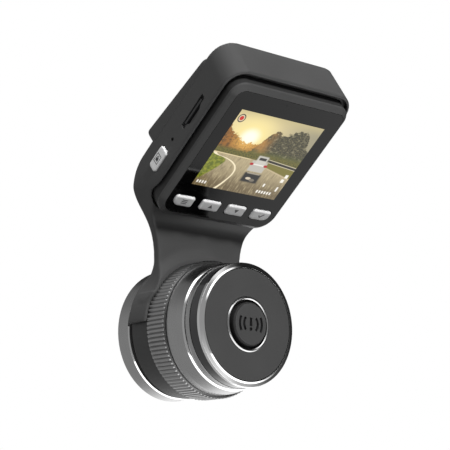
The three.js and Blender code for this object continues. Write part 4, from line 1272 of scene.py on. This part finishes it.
def set_world():
    """White to the camera, even to diffuse light, and a photo studio to reflections: a light
    cove below, a dark ceiling and right side, and two softboxes behind the camera."""
    bpy.context.scene.view_settings.view_transform = "Standard"
    world = bpy.data.worlds.new("studio")
    bpy.context.scene.world = world
    world.use_nodes = True
    tree = world.node_tree
    tree.nodes.clear()
    x, y, z = components(add_node(tree, "TexCoord").outputs["Generated"])
    behind_camera = y.ramp(-0.1, -0.35)
    beyond = y.ramp(0.4, 0.6)
    cove = z.ramp(0.1, -0.25) * x.ramp(-0.2, 0.7) * (z.ramp(-0.8, -0.6) * 0.65 + 0.45)
    room = (cove + 0.42) * (z.ramp(0.3, 0.75) * -0.45 + 1.0) * (behind_camera * -0.25 + 1.0)
    near_side = x.ramp(0.40, 0.60) * z.ramp(-0.5, -0.2) * y.ramp(0.6, 0.4)
    far_side = x.ramp(0.40, 0.62) * z.ramp(-0.03, 0.08) * beyond
    ceiling = x.ramp(-0.1, 0.22) * z.ramp(0.2, 0.4) * beyond
    room = room * (near_side * -0.93 + 1.0) * (far_side * -0.93 + 1.0) * (ceiling * -0.85 + 1.0)
    upper = z.ramp(0.42, 0.66) * z.ramp(0.815, 0.795) * x.ramp(0.5, 0.3) * behind_camera
    lower = z.ramp(-0.40, -0.43) * z.ramp(-0.98, -0.9) * x.ramp(0.95, 0.7) * behind_camera
    shine = room + upper * 2.4 + lower * 1.6
    path = add_node(tree, "LightPath")
    even, mirrored, seen = (
        add_node(tree, "Background", {"Color": (1, 1, 1, 1), "Strength": strength}).outputs[0]
        for strength in (AMBIENT, shine.source, 1.0))
    unseen = mix_shaders(path.outputs["Is Glossy Ray"], even, mirrored)
    add_node(tree, "OutputWorld", {0: mix_shaders(path.outputs["Is Camera Ray"], unseen, seen)})


def area_light(name, place, size, energy):
    """A square light aimed at the object, which reflections don't show."""
    data = bpy.data.lights.new(name, "AREA")
    data.shape, data.size, data.energy = "SQUARE", size, energy
    obj = link(bpy.data.objects.new(name, data))
    obj.location = place
    obj.rotation_euler = (LIT_POINT - Vector(place)).to_track_quat("-Z", "Y").to_euler()
    obj.visible_glossy = False


def black_card():
    """A card below the screen, whose reflection darkens the glass's lower left corner. Its right
    end fades out, and two light lines cross it."""
    material = bpy.data.materials.new("black_card")
    material.use_nodes = True
    tree = material.node_tree
    tree.nodes.clear()
    u, v, _ = components(add_node(tree, "UVMap").outputs["UV"])
    lines = (v - 0.985).math("ABSOLUTE").ramp(0.012, 0.006)
    lines = lines + (v - 0.54).math("ABSOLUTE").ramp(0.024, 0.006) * 1.6
    shine = lines * 1.6 + v.ramp(0.97, 0.75) * v.ramp(0.7, 0.75) * 0.12 + 0.02
    glow = add_node(tree, "Emission", {"Strength": shine.source}).outputs[0]
    clear = add_node(tree, "BsdfTransparent").outputs[0]
    add_node(tree, "OutputMaterial", {0: mix_shaders(u.ramp(1.0, 0.55).source, clear, glow)})
    mesh = bpy.data.meshes.new("black_card")
    left, low, width, height, away = 225, -268, 87, 59, 300
    spots = ((0, 0), (1, 0), (1, 1), (0, 1))
    corners = [HEAD @ Vector((left + width * a, low + height * b, away)) for a, b in spots]
    mesh.from_pydata([tuple(corner) for corner in corners], [], [(0, 1, 2, 3)])
    layer = mesh.uv_layers.new(name="card")
    for loop, spot in zip(layer.data, spots):
        loop.uv = spot
    mesh.materials.append(material)
    obj = link(bpy.data.objects.new("black_card", mesh))
    obj.visible_camera = obj.visible_diffuse = obj.visible_shadow = False


def set_studio():
    set_world()
    corners = [(FLOOR_REACH * a, FLOOR_REACH * b, FLOOR_LEVEL) for a, b in SQUARE]
    floor_mesh = bpy.data.meshes.new("floor")
    floor_mesh.from_pydata(corners, [], [(0, 1, 2, 3)])
    pale = surface("pale_floor", PALE, 0.7, bump=0.02, grain=400, vary=0.02)
    fill(pale.node_tree.nodes["Principled BSDF"],
         {"Emission Color": (*PALE, 1), "Emission Strength": FLOOR_GLOW})
    floor_mesh.materials.append(pale)
    floor = link(bpy.data.objects.new("floor", floor_mesh))
    floor.visible_glossy = floor.visible_diffuse = False
    black_card()
    for light in LIGHTS:
        area_light(*light)


set_studio()
